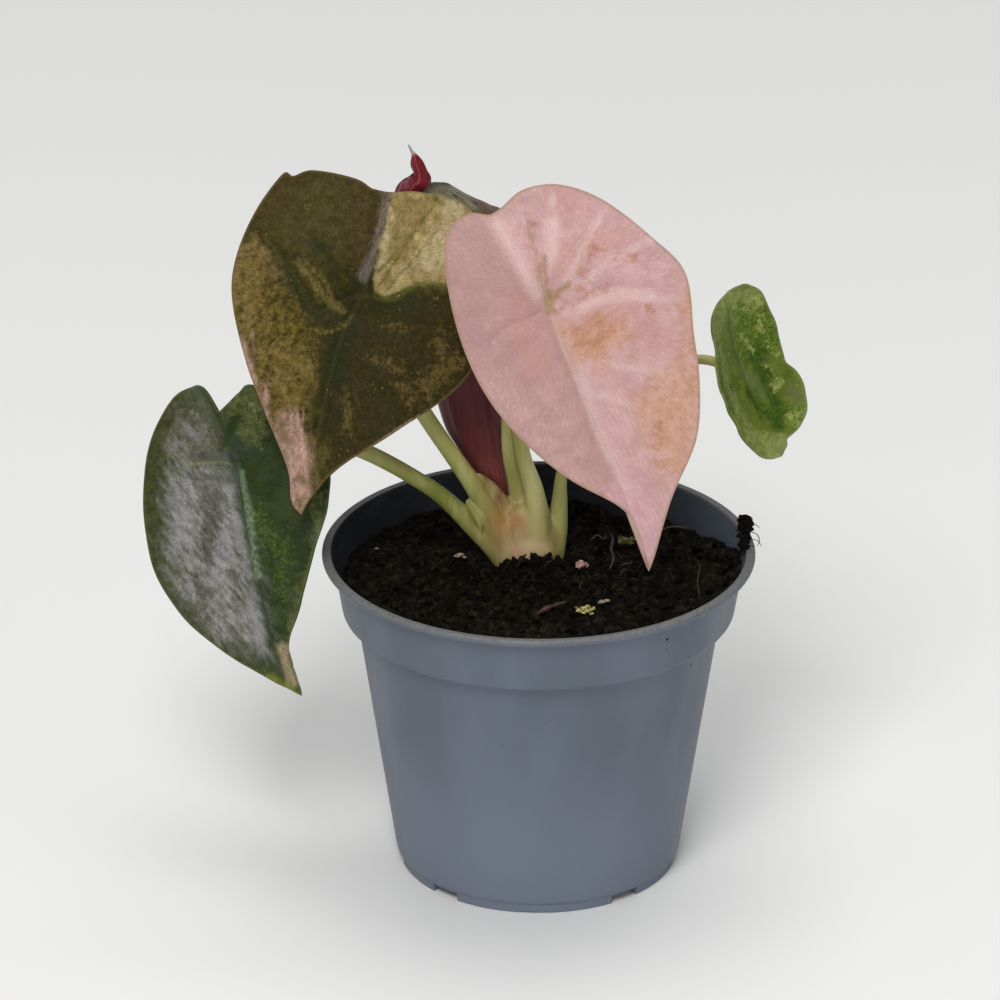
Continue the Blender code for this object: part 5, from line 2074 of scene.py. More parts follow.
BRONZE = BladeFinish(
    slot="leaf_bronze", base=rgb(64, 56, 24), shade=rgb(44, 40, 16), under=rgb(96, 84, 56),
    vein=rgb(84, 88, 50), rim=rgb(112, 92, 66), rim_strength=0.45, roughness=0.46, gloss=0.05, streaks=0.36,
    grain=0.52, freckle=rgb(124, 112, 66), freckle_scale=1.1, freckle_share=0.1,
    markings=(
        Marking("bronze_mottle", (Area(((-38, -32), (40, -38), (40, 40), (0, 66), (-40, 20))),),
            rgb(78, 70, 32), rgb(38, 33, 12), ragged=1.0, grain=0.26, softness=1.0, strength=0.5),
        # Painted sheen: the grey-green reflection on the upper left lobe.
        Marking("bronze_corner_sheen", (Area(((-6, -28), (-5, -14), (-10, -5), (-22, -7), (-31, -10), (-29, -22),
            (-20, -29))),), rgb(80, 75, 44), rgb(56, 50, 22), ragged=5.0, grain=0.2, softness=4.5,
            strength=0.55),
        Marking("bronze_dusk",
            (Area(((-2, 2), (10, 0), (22, -6), (40, -9), (38, 14), (20, 34), (2, 52), (-3, 30))),),
            rgb(54, 45, 21), rgb(36, 34, 15), ragged=3.5, softness=3.5, strength=0.75),
        Marking("bronze_brown", (Stroke(((-7.5, -26), (-5, -19), (-4.6, -11)), 5.0),
            Stroke(((-32, -14), (-30, -20), (-28, -24)), 4.0)), rgb(76, 58, 34), rgb(56, 46, 24),
            ragged=3.0, grain=0.26, softness=2.4, strength=0.6),
        Marking("bronze_tan", (Area(((-38, -4.5), (-29, -4.8), (-25.5, -1), (-20, 1), (-15, 6), (-11, 12),
            (-9, 18), (-6, 23), (-3.8, 28), (-5, 36), (-3, 44), (-2.5, 62), (-12, 60), (-30, 40),
            (-40, 14))),), rgb(108, 92, 44), rgb(54, 46, 14), ragged=5.5, grain=0.28, softness=2.4,
            strength=0.9, angle=40, pull=1.5),
        Marking("bronze_sand", (Stroke(((-33, -2), (-30, 8), (-27, 14)), 6),
            Stroke(((-22, 20), (-15, 22), (-8, 24)), 3), Stroke(((-16, 27), (-12, 34)), 6)),
            rgb(138, 116, 72), rgb(92, 76, 36), ragged=5.5, softness=2.4, strength=0.6),
        Marking("bronze_rose", (Stroke(((-33.5, -4.5), (-29, -3), (-24, 1)), 3.4),
            Stroke(((-35, 0), (-34, 8), (-30, 17)), 1.6)), rgb(124, 104, 72), rgb(98, 84, 46), ragged=3.4,
            softness=1.8, strength=0.5),
        Marking("bronze_arc", (Stroke(((24.5, 6), (24.5, 9)), 2.2),
            Stroke(((29, 11), (26, 16), (24, 20)), 4.5), Stroke(((9, 15.4), (16, 17.4)), 1.2),
            Stroke(((18, 21.6), (21, 24)), 2.0), Stroke(((3, 28), (6, 36)), 2.2),
            Stroke(((10, 6), (13, 7)), 1.2), Stroke(((28, -3), (31, -1)), 1.4)), rgb(112, 94, 54),
            rgb(74, 64, 32), ragged=4.0, grain=0.45, softness=1.8, strength=0.65),
        # The dark centre is the blade's own colour; the strokes beside the fold left of the hub are painted
        # shade.
        Marking("bronze_core_and_fold_shade", (Stroke(((-0.5, -3), (-1.7, 1), (-2.4, 12), (-2.2, 22), (-0.6, 34)), 8),
            Stroke(((-21.5, -2.4), (-18, 2.4), (-13, 7.4), (-6, 9.6)), 4.4),
            Stroke(((-14.8, -9.6), (-9, -4), (-4.6, 0.6)), 3.4), Stroke(((-2, -3), (6, 2), (14, -2)), 4)),
            rgb(35, 38, 22), rgb(46, 45, 22), ragged=3.0, grain=0.24, softness=2.8),
        Marking("bronze_fold", (Stroke(((-19, -3.3), (-14.1, -0.5), (-9.5, 3.7), (-4.3, 5.7)), 1.9),
            Stroke(((-17, -4.6), (-11, -1), (-7, 3.2)), 0.6),
            Stroke(((-9, 13.1), (-4, 11.4), (-0.6, 6.7)), 0.9),
            Stroke(((-7, 25), (-12, 36), (-15, 41)), 0.7)), rgb(118, 104, 58), rgb(82, 74, 36), ragged=1.4,
            grain=0.4, softness=0.8, strength=0.75),
        Marking("bronze_tip", (Stroke(((-27.5, 21), (-20, 34), (-13, 43.5), (-7, 52.5)), 2.0),
            Stroke(((-10, 40), (-5.6, 48), (-1.6, 61)), 8.0)), rgb(184, 148, 140), rgb(142, 114, 94),
            ragged=3.4, softness=2.6, strength=0.9, angle=-24, pull=3),
        Marking("bronze_olive", (Stroke(((1.5, 44), (0.6, 54)), 4), Stroke(((-13, 38), (-10, 44)), 4),
            Stroke(((-2.6, 53), (-1, 58)), 1.0)), rgb(98, 86, 44), rgb(66, 60, 26), ragged=3.0, grain=0.35,
            softness=1.8, strength=0.6),
        Marking("bronze_hem", (Stroke(((24, 28), (13, 41), (4, 54), (0, 62)), 0.8),), rgb(166, 138, 118),
            rgb(138, 112, 88), ragged=0.4, softness=0.5, strength=0.7),
        Marking("bronze_cream", (Area(((0.3, -34), (12, -36), (26, -34), (36, -20), (39, -11), (28, -8.4),
            (19.2, -7.8), (13.9, -6.2), (6.4, -0.9), (3.4, -1.4), (2.2, -4.9), (2.4, -11.1),
            (1.7, -18.5))),), rgb(164, 145, 101), rgb(126, 106, 62), ragged=0.4, grain=0.1, softness=0.5,
            strength=0.97, angle=-30, pull=2.0),
        Marking("bronze_umber", (Area(((1.8, -27.5), (9.5, -31), (13, -29.4), (10, -21), (7.7, -11.4),
            (4.6, -7.6), (2.8, -12), (2.2, -21))), Stroke(((11, -15), (9, -9)), 2.4)), rgb(104, 88, 46),
            rgb(138, 118, 74), ragged=4.0, grain=0.34, softness=2.0, strength=0.75, angle=-24, pull=1.6),
        Marking("bronze_pale", (Stroke(((1.6, -24), (2.3, -17), (3, -11), (3.4, -6)), 1.6),
            Stroke(((19, -28.5), (15, -21), (12.1, -15.2), (7.4, -2.3)), 1.0),
            Stroke(((18.4, -30), (18.6, -22), (16, -13)), 6.0),
            Stroke(((36, -14), (30, -11.5), (24, -11)), 3.0),
            Stroke(((24, -33), (31, -27), (36, -19)), 7.0)), rgb(184, 170, 136), rgb(158, 140, 100),
            ragged=1.6, grain=0.26, strength=0.75),
        Marking("bronze_green", (Stroke(((12.4, -28), (9, -19), (6.8, -11), (4.4, -4)), 0.7),
            Stroke(((7.6, -15.4), (5, -11), (3, -7.4)), 0.8),
            Stroke(((16, -24), (11, -12), (7, -3.4)), 0.4), Stroke(((4.2, -0.9), (7.9, -0.5), (14, -6.1),
            (19.7, -7.8), (28, -8.8), (36, -11)), 1.8), Stroke(((12, -30.6), (15, -29.4)), 1.0)),
            rgb(88, 86, 34), rgb(64, 68, 22), ragged=0.6, grain=0.35, softness=0.7, strength=0.75),
        # Painted sheen: the grey-lilac reflection on the flank beside the sinus vein.
        Marking("bronze_sinus_sheen", (Stroke(((-0.6, -29.6), (-0.2, -20.1), (0, -10.6), (-1.2, -4.8)), 2.8),),
            rgb(124, 112, 108), rgb(84, 72, 60), ragged=1.4, grain=0.34, softness=1.1, pull=3),
    ),
)

DARK = BladeFinish(
    slot="leaf_dark", base=rgb(46, 58, 22), shade=rgb(32, 45, 16), under=rgb(78, 90, 56),
    vein=rgb(70, 92, 48), rim=rgb(98, 106, 62), vein_strength=0.14, rim_width=0.4, roughness=0.34,
    gloss=0.3, coat=0.05, streaks=0.35, grain=0.42, freckle=rgb(100, 116, 54),
    markings=(
        Marking("dark_margin",
            (Stroke(((-12, -23), (-21, -14), (-26, 0), (-28.5, 19), (-26.5, 33), (-19, 46)), 11),
            Stroke(((-10, -20), (-5, -18)), 5), Stroke(((-16, 50), (-9, 56)), 5)), rgb(70, 74, 40),
            rgb(46, 52, 24), ragged=3.0, grain=0.2, softness=2.0),
        Marking("dark_edge", (Stroke(((22, 12), (17.2, 26.6), (14.6, 31), (8.6, 38), (0, 49)), 2.0),
            Stroke(((6, -17), (12, -15), (8, -8)), 8)), rgb(94, 98, 52), rgb(56, 64, 28), ragged=3.4,
            strength=0.78),
        Marking("dark_mottle", (Stroke(((1.6, 13), (3.4, 22), (6.4, 27)), 3.6),
            Stroke(((4, 30), (3, 38)), 2.0)), rgb(80, 104, 30), rgb(42, 60, 18), ragged=5.5, grain=0.6,
            softness=2.0, strength=0.7),
        Marking("dark_lobe", (Area(((-12, -21), (-5, -17), (-3.4, -9.8), (-4, -4.4), (-10.5, -4.8),
            (-17.5, -5), (-19, -10), (-16, -16))),), rgb(92, 89, 70), rgb(56, 56, 36), ragged=4.0,
            softness=2.6, strength=0.9, angle=60, pull=2.0),
        # Painted sheen: the grey reflection on the glossy left half, painted into its colour.
        Marking("dark_sheen", (Area(((-17.5, -4), (-10.5, -4.4), (-3, -2.2), (-2.6, 13.8), (-3.8, 25.4),
            (-5.6, 43.8), (-7.6, 51), (-12, 50), (-18, 44.5), (-22.8, 37), (-25.8, 30), (-26.4, 20),
            (-24, 12), (-21, 3.4), (-18.6, -1.5))),), rgb(142, 141, 139), rgb(88, 88, 78), ragged=3.8,
            softness=5.0, strength=0.95, angle=-24, pull=2.6),
        # Painted sheen: brighter lilac-grey spots of reflection.
        Marking("dark_sheen_spots", (Stroke(((-3.6, 6), (-4.2, 16), (-5.4, 30)), 1.6),
            Stroke(((-17.5, 2), (-20.5, 14)), 4), Stroke(((-8, 18), (-10, 22), (-13, 28)), 4),
            Stroke(((-10.4, -14), (-7, -11)), 2.8), Stroke(((-15, -10), (-13, -7)), 2.4),
            Stroke(((-7, 38), (-8, 47)), 2.4)), rgb(158, 156, 162), rgb(120, 118, 118), ragged=3.4,
            grain=0.34, softness=2.4, strength=0.6, angle=-24, pull=2.6),
        Marking("dark_streaks", (Area(((-12.6, -1.4), (-4.2, 0.6), (-4.6, 4), (-6.6, 9), (-11.6, 8))),
            Stroke(((-8.4, 6), (-10.6, 12.3), (-13, 18), (-15, 21)), 4.2),
            Stroke(((-19.4, 26.3), (-20.4, 38)), 2), Stroke(((-9.4, 28.8), (-10.2, 34.8)), 1.6),
            Stroke(((-3.4, -9), (-8, -7)), 3)), rgb(44, 43, 32), rgb(88, 86, 78), ragged=2.6, grain=0.42,
            strength=0.82, angle=-24, pull=2.0),
        Marking("dark_cream", (Stroke(((-13, -15), (-12, -14)), 1.0),
            Stroke(((-8, -18), (-6.6, -16.6)), 0.9), Stroke(((-16.6, -9), (-16, -7.6)), 0.8),
            Stroke(((10, -15), (11, -13)), 1.2), Stroke(((-6, -8.4), (-5, -7.6)), 0.8),
            Stroke(((-11.4, -9.6), (-10.4, -9)), 0.8)), rgb(146, 142, 112), rgb(112, 108, 78), grain=0.6,
            softness=0.7, strength=0.45),
        # Painted shade in the midrib groove.
        Marking("dark_groove_shade", (Stroke(((-1, -4), (-1.2, 3), (-2, 14), (-3.5, 31.7), (-5.2, 50)), 1.7),),
            rgb(28, 43, 20), rgb(36, 52, 25), ragged=0.4, grain=0.2, softness=0.8, strength=0.9),
        Marking("dark_glint",
            (Stroke(((0.6, 2), (0.5, 8), (0.3, 12), (-0.9, 18), (-1.8, 23), (-2.9, 31)), 1.9),),
            rgb(140, 154, 128), rgb(74, 98, 62), ragged=1.0, grain=0.4, softness=0.9, strength=0.78),
        Marking("dark_vein", (Stroke(((-12.4, -4.6), (-10.5, -4.1), (-6.8, -3.3), (-3.9, -2.4),
            (-2.6, -1.4)), 0.7),), rgb(140, 140, 98), rgb(104, 108, 72), ragged=0.8, softness=0.6),
        Marking("dark_tip", (Stroke(((-2.4, 52), (-2.8, 61)), 3.8),), rgb(154, 136, 112), rgb(130, 118, 82),
            ragged=0.6, softness=0.9),
        Marking("dark_tip_green", (Stroke(((-9, 58.5), (-5.4, 62), (-1.8, 66.5)), 2.6),), rgb(126, 126, 44),
            rgb(98, 104, 38), ragged=0.8, softness=0.9, strength=0.8),
    ),
)

GREEN = BladeFinish(
    slot="leaf_green", base=rgb(96, 107, 38), shade=rgb(72, 89, 25), under=rgb(120, 132, 80),
    vein=rgb(126, 138, 80), rim=rgb(126, 132, 96), vein_strength=0.06, rim_strength=0.35, gloss=0.16,
    streaks=0.22, freckle=rgb(150, 158, 90), freckle_share=0.12,
    markings=(
        Marking("green_olive", (Area(((-3, -22), (3, -23.4), (10, -19), (10.6, -15.4), (6, -13.2),
            (0, -14.6), (-3.4, -15))),
            Area(((-11.4, 15), (-6, 17), (0, 21.6), (-1, 26), (-9, 25.6), (-13, 21)))), rgb(142, 150, 86),
            rgb(112, 122, 56), ragged=2.6),
        Marking("green_mottle",
            (Stroke(((3, -15), (6, -11), (10.5, -9.4), (12, -4.6), (7.4, -5), (2.8, -5.3)), 4.5),
            Stroke(((8, 16), (9, 19)), 4)), rgb(44, 72, 12), rgb(106, 126, 40), ragged=4.4, grain=0.5,
            softness=1.2),
        Marking("green_deep", (Stroke(((5.2, -2.5), (5.3, 0.5), (4.6, 6.1)), 5.0),
            Stroke(((-1.5, 6.3), (-1.2, 10.6), (0, 15.3), (1.4, 18.3)), 3.4),
            Stroke(((4.4, 10), (4, 16)), 3.4)), rgb(36, 60, 10), rgb(54, 80, 18), grain=0.34, softness=1.4,
            strength=0.88),
        Marking("green_band", (Stroke(((0.1, -16.8), (-1.1, -13.3), (-1.8, -8.5), (-2.4, -4.1), (-0.9, 1.2),
            (1.8, 6), (1.6, 8.8)), 2.6),), rgb(78, 92, 50), rgb(92, 104, 60), ragged=1.4, softness=1.8,
            strength=0.8),
        Marking("green_flat", (Area(((8.4, 10), (12.6, 9.6), (12.8, 13), (10.6, 16.4), (8.2, 15.6))),),
            rgb(96, 102, 56), rgb(84, 92, 48), ragged=0.8, grain=0.2, softness=1.2, strength=0.8),
        # Painted highlight along the left and lower rim, which turns up towards the light.
        Marking("green_lit_rim", (Stroke(((-4.4, -17.6), (-7.2, -10.1), (-7.9, -4.6), (-10.1, 3.2), (-9, 9.6),
            (-9.7, 16.4), (-8.5, 21.8)), 3.4), Stroke(((0, 22.6), (-6, 22.6)), 3.0)), rgb(126, 134, 82),
            rgb(96, 106, 54), grain=0.34, strength=0.88),
        Marking("green_pale", (Stroke(((9.2, -16.3), (9.8, -14.4)), 1.8),
            Stroke(((5.9, 9.3), (8.3, 7.7)), 1.5), Stroke(((10.8, 0.4), (11, 0.9)), 1.2),
            Stroke(((6.8, 2.7), (7.4, 3.1)), 1.0), Stroke(((9, -11.4), (8, -7.4)), 1.0),
            Stroke(((2, -9), (4.6, -3)), 0.9), Stroke(((-5.8, 24), (-5, 24.1)), 1.2),
            Stroke(((5.7, 17.3), (5.9, 19.8), (8.1, 18.5)), 1.3)), rgb(152, 160, 96), rgb(118, 132, 62),
            ragged=1.8, grain=0.6, softness=0.7, strength=0.8),
    ),
)

# Painted sheen: the grey-green ground is the reflection on the glossy upper face; the dark green rim is the
# blade's own colour.
REAR = BladeFinish(
    slot="leaf_bronze", base=rgb(130, 124, 100), shade=rgb(100, 95, 72), under=rgb(104, 94, 74),
    vein=rgb(72, 76, 52), rim=rgb(38, 48, 28), rim_width=3.0, rim_strength=0.9, gloss=0.15, streaks=0.1,
    grain=0.3, freckle=rgb(50, 40, 34), freckle_share=0.14,
    markings=(
        Marking("rear_brown", (Area(((5, -4), (12, -4), (18, -1), (24, 6), (28, 16), (20, 27), (8, 14))),),
            rgb(108, 72, 58), rgb(80, 58, 42), ragged=3.4, grain=0.2, softness=3.0, strength=0.95),
        Marking("rear_spots", (Stroke(((21, -9), (22, -8)), 2.2), Stroke(((22.6, -3.4), (23.4, -3)), 1.6),
            Stroke(((17, -3), (18, -2)), 1.8), Stroke(((14.7, -8.6), (13, -6)), 2.0),
            Stroke(((20, -15), (21, -12)), 1.2)), rgb(44, 38, 28), rgb(70, 60, 42), grain=0.6,
            softness=0.8),
    ),
)

LEAF_PINK = Blade(
    name="leaf_pink", hub=(2.7, -12, 171.5), azimuth=2.0, elevation=20.0, roll=19.9, sinus=(-6.4, -28.2),
    left=((-13, -30.6), (-20.7, -25.4), (-25.2, -7.3), (-25.4, 12.6), (-20.7, 29.8), (-11.9, 45.7),
        (-1.7, 57.8), (0.7, 65.3)),
    right=((-3.2, -28.9), (4.4, -31.5), (14, -29.4), (23.4, -21.5), (32.6, -6.8), (37.4, 5.1), (33.9, 20.9),
        (30.6, 34.4), (24.4, 48.3), (12.6, 61), (2.9, 74.3)),
    tip=(0, 77.7), fold=0.16, curl=0.005, tip_arch=0.001, lobe_arch=0.004, dimple=3.0, wave=1.0, waves=5,
    ribs=(((0, 0), (-0.7, 12), (-0.2, 24), (-0.5, 36), (0.2, 44), (1.6, 53), (2.1, 60.5), (0.4, 75)),
        ((0, 0), (0.5, -9), (1.4, -14.7), (1.8, -19.9), (2.4, -27)), ((0, 0.5), (6.3, 2.3), (12, 1.2),
        (16.5, 1.2), (21, 2.8), (27, 6)), ((0, 0.5), (-6, 1.8), (-12, 1.6), (-18, 4))),
    finish=PINK,
)

LEAF_BRONZE = Blade(
    name="leaf_bronze", hub=(-48.6, 4, 168.1), azimuth=-5.0, elevation=24.0, roll=-13.3,
    sinus=(-4.7, -28.5),
    left=((-10.3, -30), (-21.9, -29.1), (-26.8, -26.1), (-29.8, -25.9), (-34.1, -14.4), (-35.8, -1.5),
        (-33.9, 10.2), (-25.6, 26.2), (-16.5, 38.6), (-6.7, 51.6), (-3.4, 59.7)),
    right=((0.3, -28.9), (8.3, -31), (21.5, -30.4), (30, -21), (36.6, -4), (36.7, 4.5), (31.6, 18.4),
        (18.9, 34.1), (6.9, 47.2), (1.6, 57)),
    tip=(0, 62.5), fold=0.14, curl=0.005, tip_arch=0.0004, lobe_arch=0.004, dimple=3.5, wave=1.2, waves=4,
    ribs=(((0, 0), (-1.6, 8), (-2.4, 20), (-1.6, 36), (-1, 50), (-0.6, 62)), ((0, 0), (0.4, -10),
        (-0.4, -20), (-2, -28)), ((0, 0), (7.9, -0.6), (14, -6.1), (20, -8), (34, -10.5)), ((0, 0), (-6, 4),
        (-11, 8), (-18, 1), (-26, -6))),
    finish=BRONZE,
)

LEAF_DARK = Blade(
    name="leaf_dark", hub=(-83.7, 3, 117.1), azimuth=-20.0, elevation=22.0, roll=25.2, sinus=(-0.1, -15.8),
    left=((-2.8, -23.6), (-6.2, -24.7), (-12.4, -23), (-21.4, -14.5), (-27.8, 0), (-31.3, 19), (-28.2, 34),
        (-20.1, 46.7), (-10.2, 57.7)),
    right=((3.1, -17.3), (6.8, -19.1), (11, -20), (21.2, -11.9), (26.7, 5), (23.3, 17.5), (16, 28.5),
        (6.7, 42.1), (0.3, 49.5), (-1.8, 57)),
    tip=(-1.8, 65.8), fold=0.22, curl=0.006, tip_arch=0.0012, lobe_arch=0.004, dimple=3.0, wave=1.0,
    waves=4,
    ribs=(((0, 0), (-1.2, 4), (-2, 14), (-3.5, 31.7), (-5.2, 50), (-4, 62)), ((0, 0), (-5, -2.6),
        (-10.5, -3.8), (-17, -2))),
    finish=DARK, groove=0.8,
)

LEAF_SMALL = Blade(
    name="leaf_small", hub=(56.3, 10, 143.8), azimuth=42.0, elevation=22.0, roll=8.2, sinus=(0.6, -22),
    left=((-3.6, -20.2), (-6.8, -17.4), (-7.9, -13.3), (-9.3, -8.1), (-12.4, -3.6), (-13.6, 0.6),
        (-13.5, 5.3), (-12.6, 11.1), (-13.5, 14.8), (-12.6, 19.4), (-10.8, 22.6), (-7.9, 24.6)),
    right=((3.4, -22.1), (7, -21.4), (10.1, -18.5), (11.3, -14.8), (12.9, -7.7), (13.2, -2.9), (12.6, 2.6),
        (12.7, 4.4), (14.1, 7.5), (14.1, 11.1), (12.8, 14.7), (11.1, 17.5), (8.6, 19.9), (5.8, 21.6),
        (0.9, 22.4), (-0.7, 24)),
    tip=(-4.2, 25.4), fold=0.0, curl=-0.018, tip_arch=-0.01, lobe_arch=-0.01, dimple=0.0, wave=0.8, waves=3,
    ribs=(((0, 0), (-1, 6), (-1.4, 13), (-3.4, 22)), ((0, 0), (-0.6, -6), (0.4, -16)), ((0, 0), (5, 1),
        (10, 4))),
    finish=GREEN, laterals=3, spokes=220, rings=36, groove=0.45,
)

LEAF_REAR = Blade(
    name="leaf_rear", hub=(-4, 52, 163.6), azimuth=103.5, elevation=55.0, roll=50.0, sinus=(2, -22),
    left=((-6, -26), (-16, -25), (-25, -16), (-29, -2), (-27, 14), (-20, 30), (-11, 43), (-3, 51)),
    right=((9, -27), (20, -27), (27.4, -18), (29.3, -4), (28, 12), (21, 28), (12, 41), (3.5, 50)),
    tip=(0, 56), fold=0.14, curl=0.006, tip_arch=0.003, lobe_arch=0.005, dimple=3.0, wave=1.0, waves=4,
    ribs=(((0, 0), (0, 20), (0, 40), (0, 55)), ((0, 0), (0.6, -10), (1.6, -21)), ((0, 0), (8, -3),
        (18, -8)), ((0, 0), (-8, -3), (-18, -8))),
    finish=REAR, spokes=260, rings=48,
)

STALKS = (
    Stalk(
        name="petiole_pink", blade=LEAF_PINK,
        points=((0.5, 9.8, 84), (-0.2, 9.3, 96), (-1.4, 8.8, 107), (-4.6, 8, 119.1), (-6, 7, 135),
            (-4, 6, 150), (0, 3.5, 162)),
        radius=2.1, base_radius=4.9, start_length=30.0, sheath=22.0,
    ),
    Stalk(
        name="petiole_bronze", blade=LEAF_BRONZE,
        points=((-6, 9.5, 84), (-11.5, 9.4, 97), (-17.9, 9, 108.4), (-31.2, 9, 129.5), (-41, 12, 147),
            (-46, 14, 158)),
        radius=2.3, base_radius=5.0, start_length=30.0, sheath=21.0,
    ),
    Stalk(
        name="petiole_dark", blade=LEAF_DARK,
        points=((-7.8, 9.2, 84.5), (-12.2, 9, 90.3), (-19, 9.6, 97), (-30, 9, 107.8), (-47.7, 6, 120),
            (-62, 9.5, 122.5), (-73, 13, 118.5)),
        radius=2.2, base_radius=4.0, sheath=17.0,
    ),
    Stalk(
        name="petiole_small", blade=LEAF_SMALL,
        points=((2.8, 10.8, 84), (4.8, 12.4, 93), (5.8, 13.4, 101), (6.4, 14, 109.5), (9, 16, 121),
            (17, 17, 134), (30, 15.8, 141.8), (45, 14.4, 144.2)),
        radius=1.35, base_radius=4.0, sheath=15.0,
    ),
    Stalk(
        name="petiole_rear", blade=LEAF_REAR,
        points=((-4, 12, 84), (-5, 12, 97), (-6.3, 12, 108), (-8.2, 12, 120), (-8, 19.5, 138),
            (-8, 32, 150), (-8.6, 44, 155)),
        radius=2.1, base_radius=4.0, sheath=20.0,
    ),
)

NEW_LEAF = RolledLeaf(
    sections=(
        ((-10.3, 16.3, 101), 1.9, 150), ((-11.2, 17.4, 104.5), 2.7, 140), ((-12.6, 19, 108), 4.2, 125),
        ((-14.3, 21, 112), 5.5, 115), ((-16.5, 22.8, 118), 7.6, 110), ((-18.3, 24.5, 124), 9, 110),
        ((-21.5, 26, 140), 9.8, 115), ((-27, 26.5, 160), 9.2, 125), ((-31, 25.6, 174), 7.6, 135),
        ((-34.2, 24.9, 184), 5.6, 142), ((-35.7, 24.1, 189.6), 4, 150), ((-33.7, 23.4, 192.6), 3, 152),
        ((-32.3, 23, 194.2), 2.9, 154), ((-32.4, 22.8, 195.9), 2.1, 155), ((-32.7, 22.6, 197.2), 1.85, 155),
        ((-33.4, 22.4, 198.9), 1.85, 155), ((-33.8, 22.2, 200.4), 1.35, 155),
        ((-34.2, 22, 201.6), 0.75, 155), ((-34.75, 22, 202.7), 0.42, 155), ((-35.7, 22, 204.6), 0.26, 155),
    )
)

SOIL_BITS = (
    SoilBit(
        "stone_chip", "pink_stone",
        (((11.9, 3, 86.8), (1.6, 1.1, 1.2), 20), ((13.1, 4.2, 86.5), (0.8, 0.7, 0.7), 50)),
        rgb(206, 170, 158), rgb(130, 100, 90), roughness=0.6, seed=3,
    ),
    SoilBit(
        "bark_sliver", "purple_bark",
        (((1.4, -22.4, 85.4), (2.9, 0.8, 0.6), 34), ((5.3, -19.6, 85.6), (2.6, 0.7, 0.55), 30)),
        rgb(74, 46, 44), rgb(54, 36, 34), seed=4,
    ),
    SoilBit(
        "fertiliser_grain", "yellow_flakes",
        (((11, -24, 85.8), (0.8, 0.6, 0.5), 10), ((12.4, -23.4, 86.1), (0.9, 0.6, 0.5), -30),
            ((13.8, -23.9, 85.8), (0.7, 0.6, 0.4), 60), ((12.2, -25, 85.6), (0.6, 0.5, 0.4), 0),
            ((13.2, -22.4, 86.2), (0.7, 0.5, 0.5), 25), ((14.8, -23, 86), (0.5, 0.5, 0.4), 40),
            ((10.4, -22.6, 86), (0.5, 0.4, 0.4), 70), ((14.4, -25.2, 85.4), (0.5, 0.4, 0.3), 15)),
        rgb(206, 198, 122), rgb(120, 110, 56), roughness=0.75, seed=5,
    ),
    SoilBit(
        "pale_chip", "pale_flakes",
        (((17.3, -18.4, 85.8), (1.1, 0.55, 0.45), 40), ((18.8, -17.4, 85.7), (0.7, 0.45, 0.35), 10)),
        rgb(178, 164, 136), rgb(110, 98, 78), roughness=0.75, seed=6,
    ),
    SoilBit(
        "moss_lump", "yellow_moss",
        (((24.6, 21.2, 86.2), (2, 1.4, 0.8), 0), ((26.2, 22.4, 85.9), (1.1, 0.9, 0.6), 30),
            ((23.2, 20.4, 86), (0.9, 0.8, 0.6), 10)),
        rgb(112, 107, 46), rgb(72, 70, 30), roughness=0.6, seed=8,
    ),
    SoilBit(
        "", "husk_flake",
        (((-22.2, 11.4, 86.2), (1.3, 0.7, 0.5), 20), ((-20.6, 10.6, 85.9), (0.6, 0.5, 0.3), -20)),
        rgb(170, 156, 132), rgb(120, 100, 76), seed=9,
    ),
)


# The stage


class SoftBox(enum.Enum):
    """The studio's soft lights: where each stands, its size in metres, its power and its warmth."""

    KEY = ((-0.38, -1.55, 1.9), 0.9, 30.0, (1.0, 0.99, 0.97))
    FRONT = ((-0.15, -2.6, 0.38), 1.2, 17.5, (1.0, 1.0, 1.0))
    TOP = ((0.1, 0.5, 2.2), 1.8, 24.0, (1.0, 1.0, 1.0))
    RIGHT = ((1.7, -0.9, 0.9), 1.0, 1.6, (0.97, 0.98, 1.0))


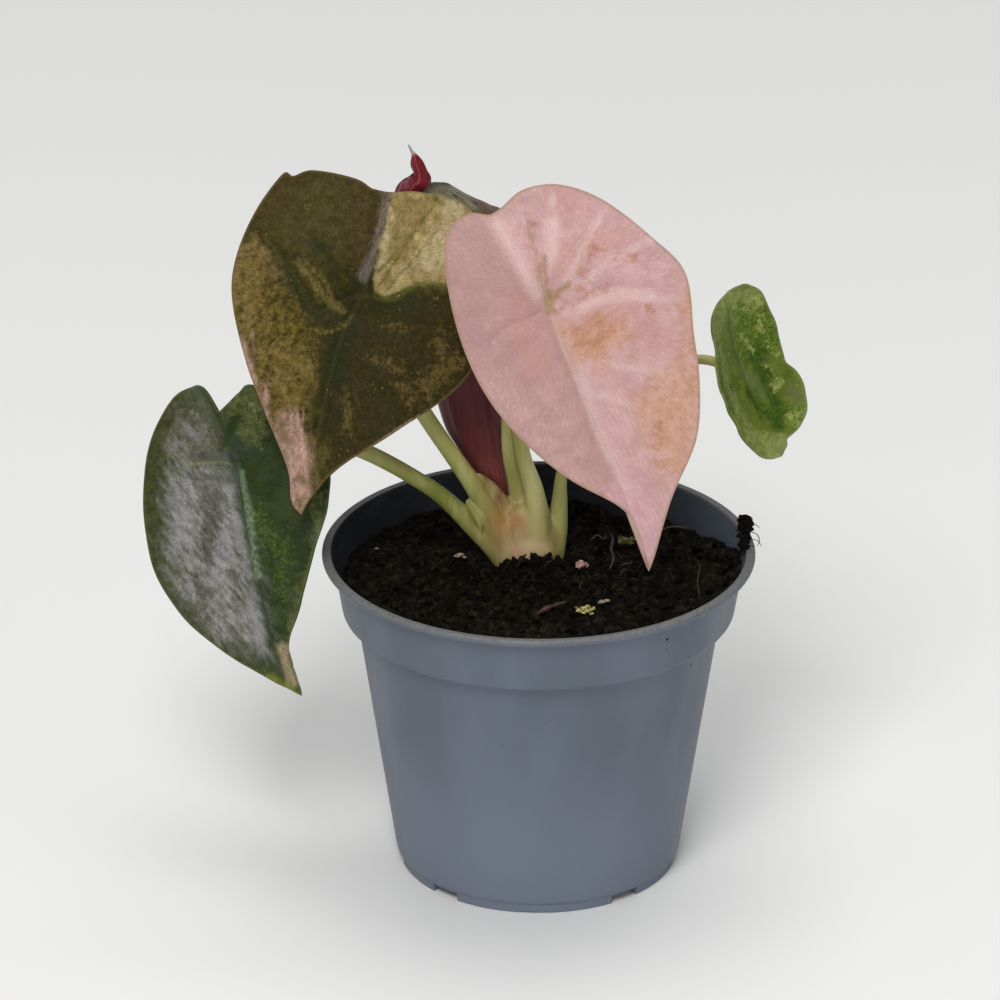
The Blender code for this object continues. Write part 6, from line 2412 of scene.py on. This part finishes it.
@dataclass(frozen=True)
class Studio:
    """The plain pale floor, the soft lights and the camera at the photograph's angle."""

    aim: Place = (-10.7, 0.0, 108.2)
    light_aim: Place = (0.0, 0.0, 100.0)
    look_down: float = 24.4
    distance: float = 1800.0
    lens: float = 234.9
    sensor: float = 36.0
    far_clip: float = 20.0
    floor_size: float = 14.0
    floor_tone: Colour = rgb(246, 246, 245)
    floor_shade: Colour = rgb(238, 238, 238)
    sky: Colour = (1.0, 1.0, 1.0, 1.0)
    sky_strength: float = 0.15

    def build_floor(self) -> None:
        """Lay the floor."""
        deselect_all()
        bpy.ops.mesh.primitive_plane_add(size=self.floor_size, location=(0, 0, 0))
        floor = name_active("studio_floor")
        material, sheet, shader = start_material("Studio floor", 0.9)
        grain = sheet.span(sheet.noise(sheet.place(), 3.0), 0.3, 0.7, 0.0, 0.05)
        sheet.feed(shader, Base_Color=sheet.blend(grain, self.floor_tone, self.floor_shade))
        floor.data.materials.append(material)

    def build_lights(self) -> None:
        """Hang the soft boxes and set the sky."""
        for box in SoftBox:
            place, size, power, warmth = box.value
            light = bpy.data.lights.new(f"{box.name.lower()}_light", "AREA")
            light.size = size
            light.energy = power
            light.color = warmth
            lamp = bpy.data.objects.new(light.name, light)
            lamp.location = place
            aim = Vector(self.light_aim) * MM - Vector(place)
            lamp.rotation_euler = aim.to_track_quat("-Z", "Y").to_euler()
            lamp.visible_glossy = box is not SoftBox.FRONT
            bpy.context.scene.collection.objects.link(lamp)
        world = bpy.data.worlds.new("Studio sky")
        world.use_nodes = True
        sky = world.node_tree.nodes["Background"]
        sky.inputs["Color"].default_value = self.sky
        sky.inputs["Strength"].default_value = self.sky_strength
        bpy.context.scene.world = world
        bpy.context.scene.view_settings.view_transform = "Standard"

    def build_camera(self) -> None:
        """Set the camera where the photograph was taken from."""
        camera = bpy.data.cameras.new("studio_camera")
        camera.lens = self.lens
        camera.sensor_width = self.sensor
        camera.clip_end = self.far_clip
        holder = bpy.data.objects.new("studio_camera", camera)
        down = math.radians(self.look_down)
        x, y, z = self.aim
        back, up = self.distance * math.cos(down), self.distance * math.sin(down)
        holder.location = (x * MM, (y - back) * MM, (z + up) * MM)
        holder.rotation_euler = (math.pi / 2 - down, 0.0, 0.0)
        bpy.context.scene.collection.objects.link(holder)
        bpy.context.scene.camera = holder


@dataclass(frozen=True)
class PottedAlocasia:
    """The whole plant in its pot."""

    pot: GrowerPot = field(default_factory=GrowerPot)
    crown: Crown = field(default_factory=Crown)
    stem: StemFinish = field(default_factory=StemFinish)
    blades: tuple[Blade, ...] = (LEAF_PINK, LEAF_BRONZE, LEAF_DARK, LEAF_SMALL, LEAF_REAR)

    def build(self) -> None:
        """Build and dress every sub-assembly in order."""
        effects = Effects()
        self.pot.build(effects)
        soil = Soil(self.pot)
        soil.build(effects)
        litter = Litter(soil)
        litter.build_crumbs(effects)
        litter.build_fibres()
        for bit in SOIL_BITS:
            bit.build()
        RimCrumb().build(soil, effects)
        skin = self.stem.material(effects)
        self.crown.build(STALKS, self.stem, skin)
        for stalk in STALKS:
            stalk.build(self.stem, skin)
        for blade in self.blades:
            blade.build(effects)
        NEW_LEAF.build(effects)


def main() -> None:
    """Build the plant and its studio."""
    logging.basicConfig(level=logging.INFO, format="%(message)s")
    studio = Studio()
    studio.build_camera()
    PottedAlocasia().build()
    studio.build_floor()
    studio.build_lights()


if __name__ == "__main__":
    main()
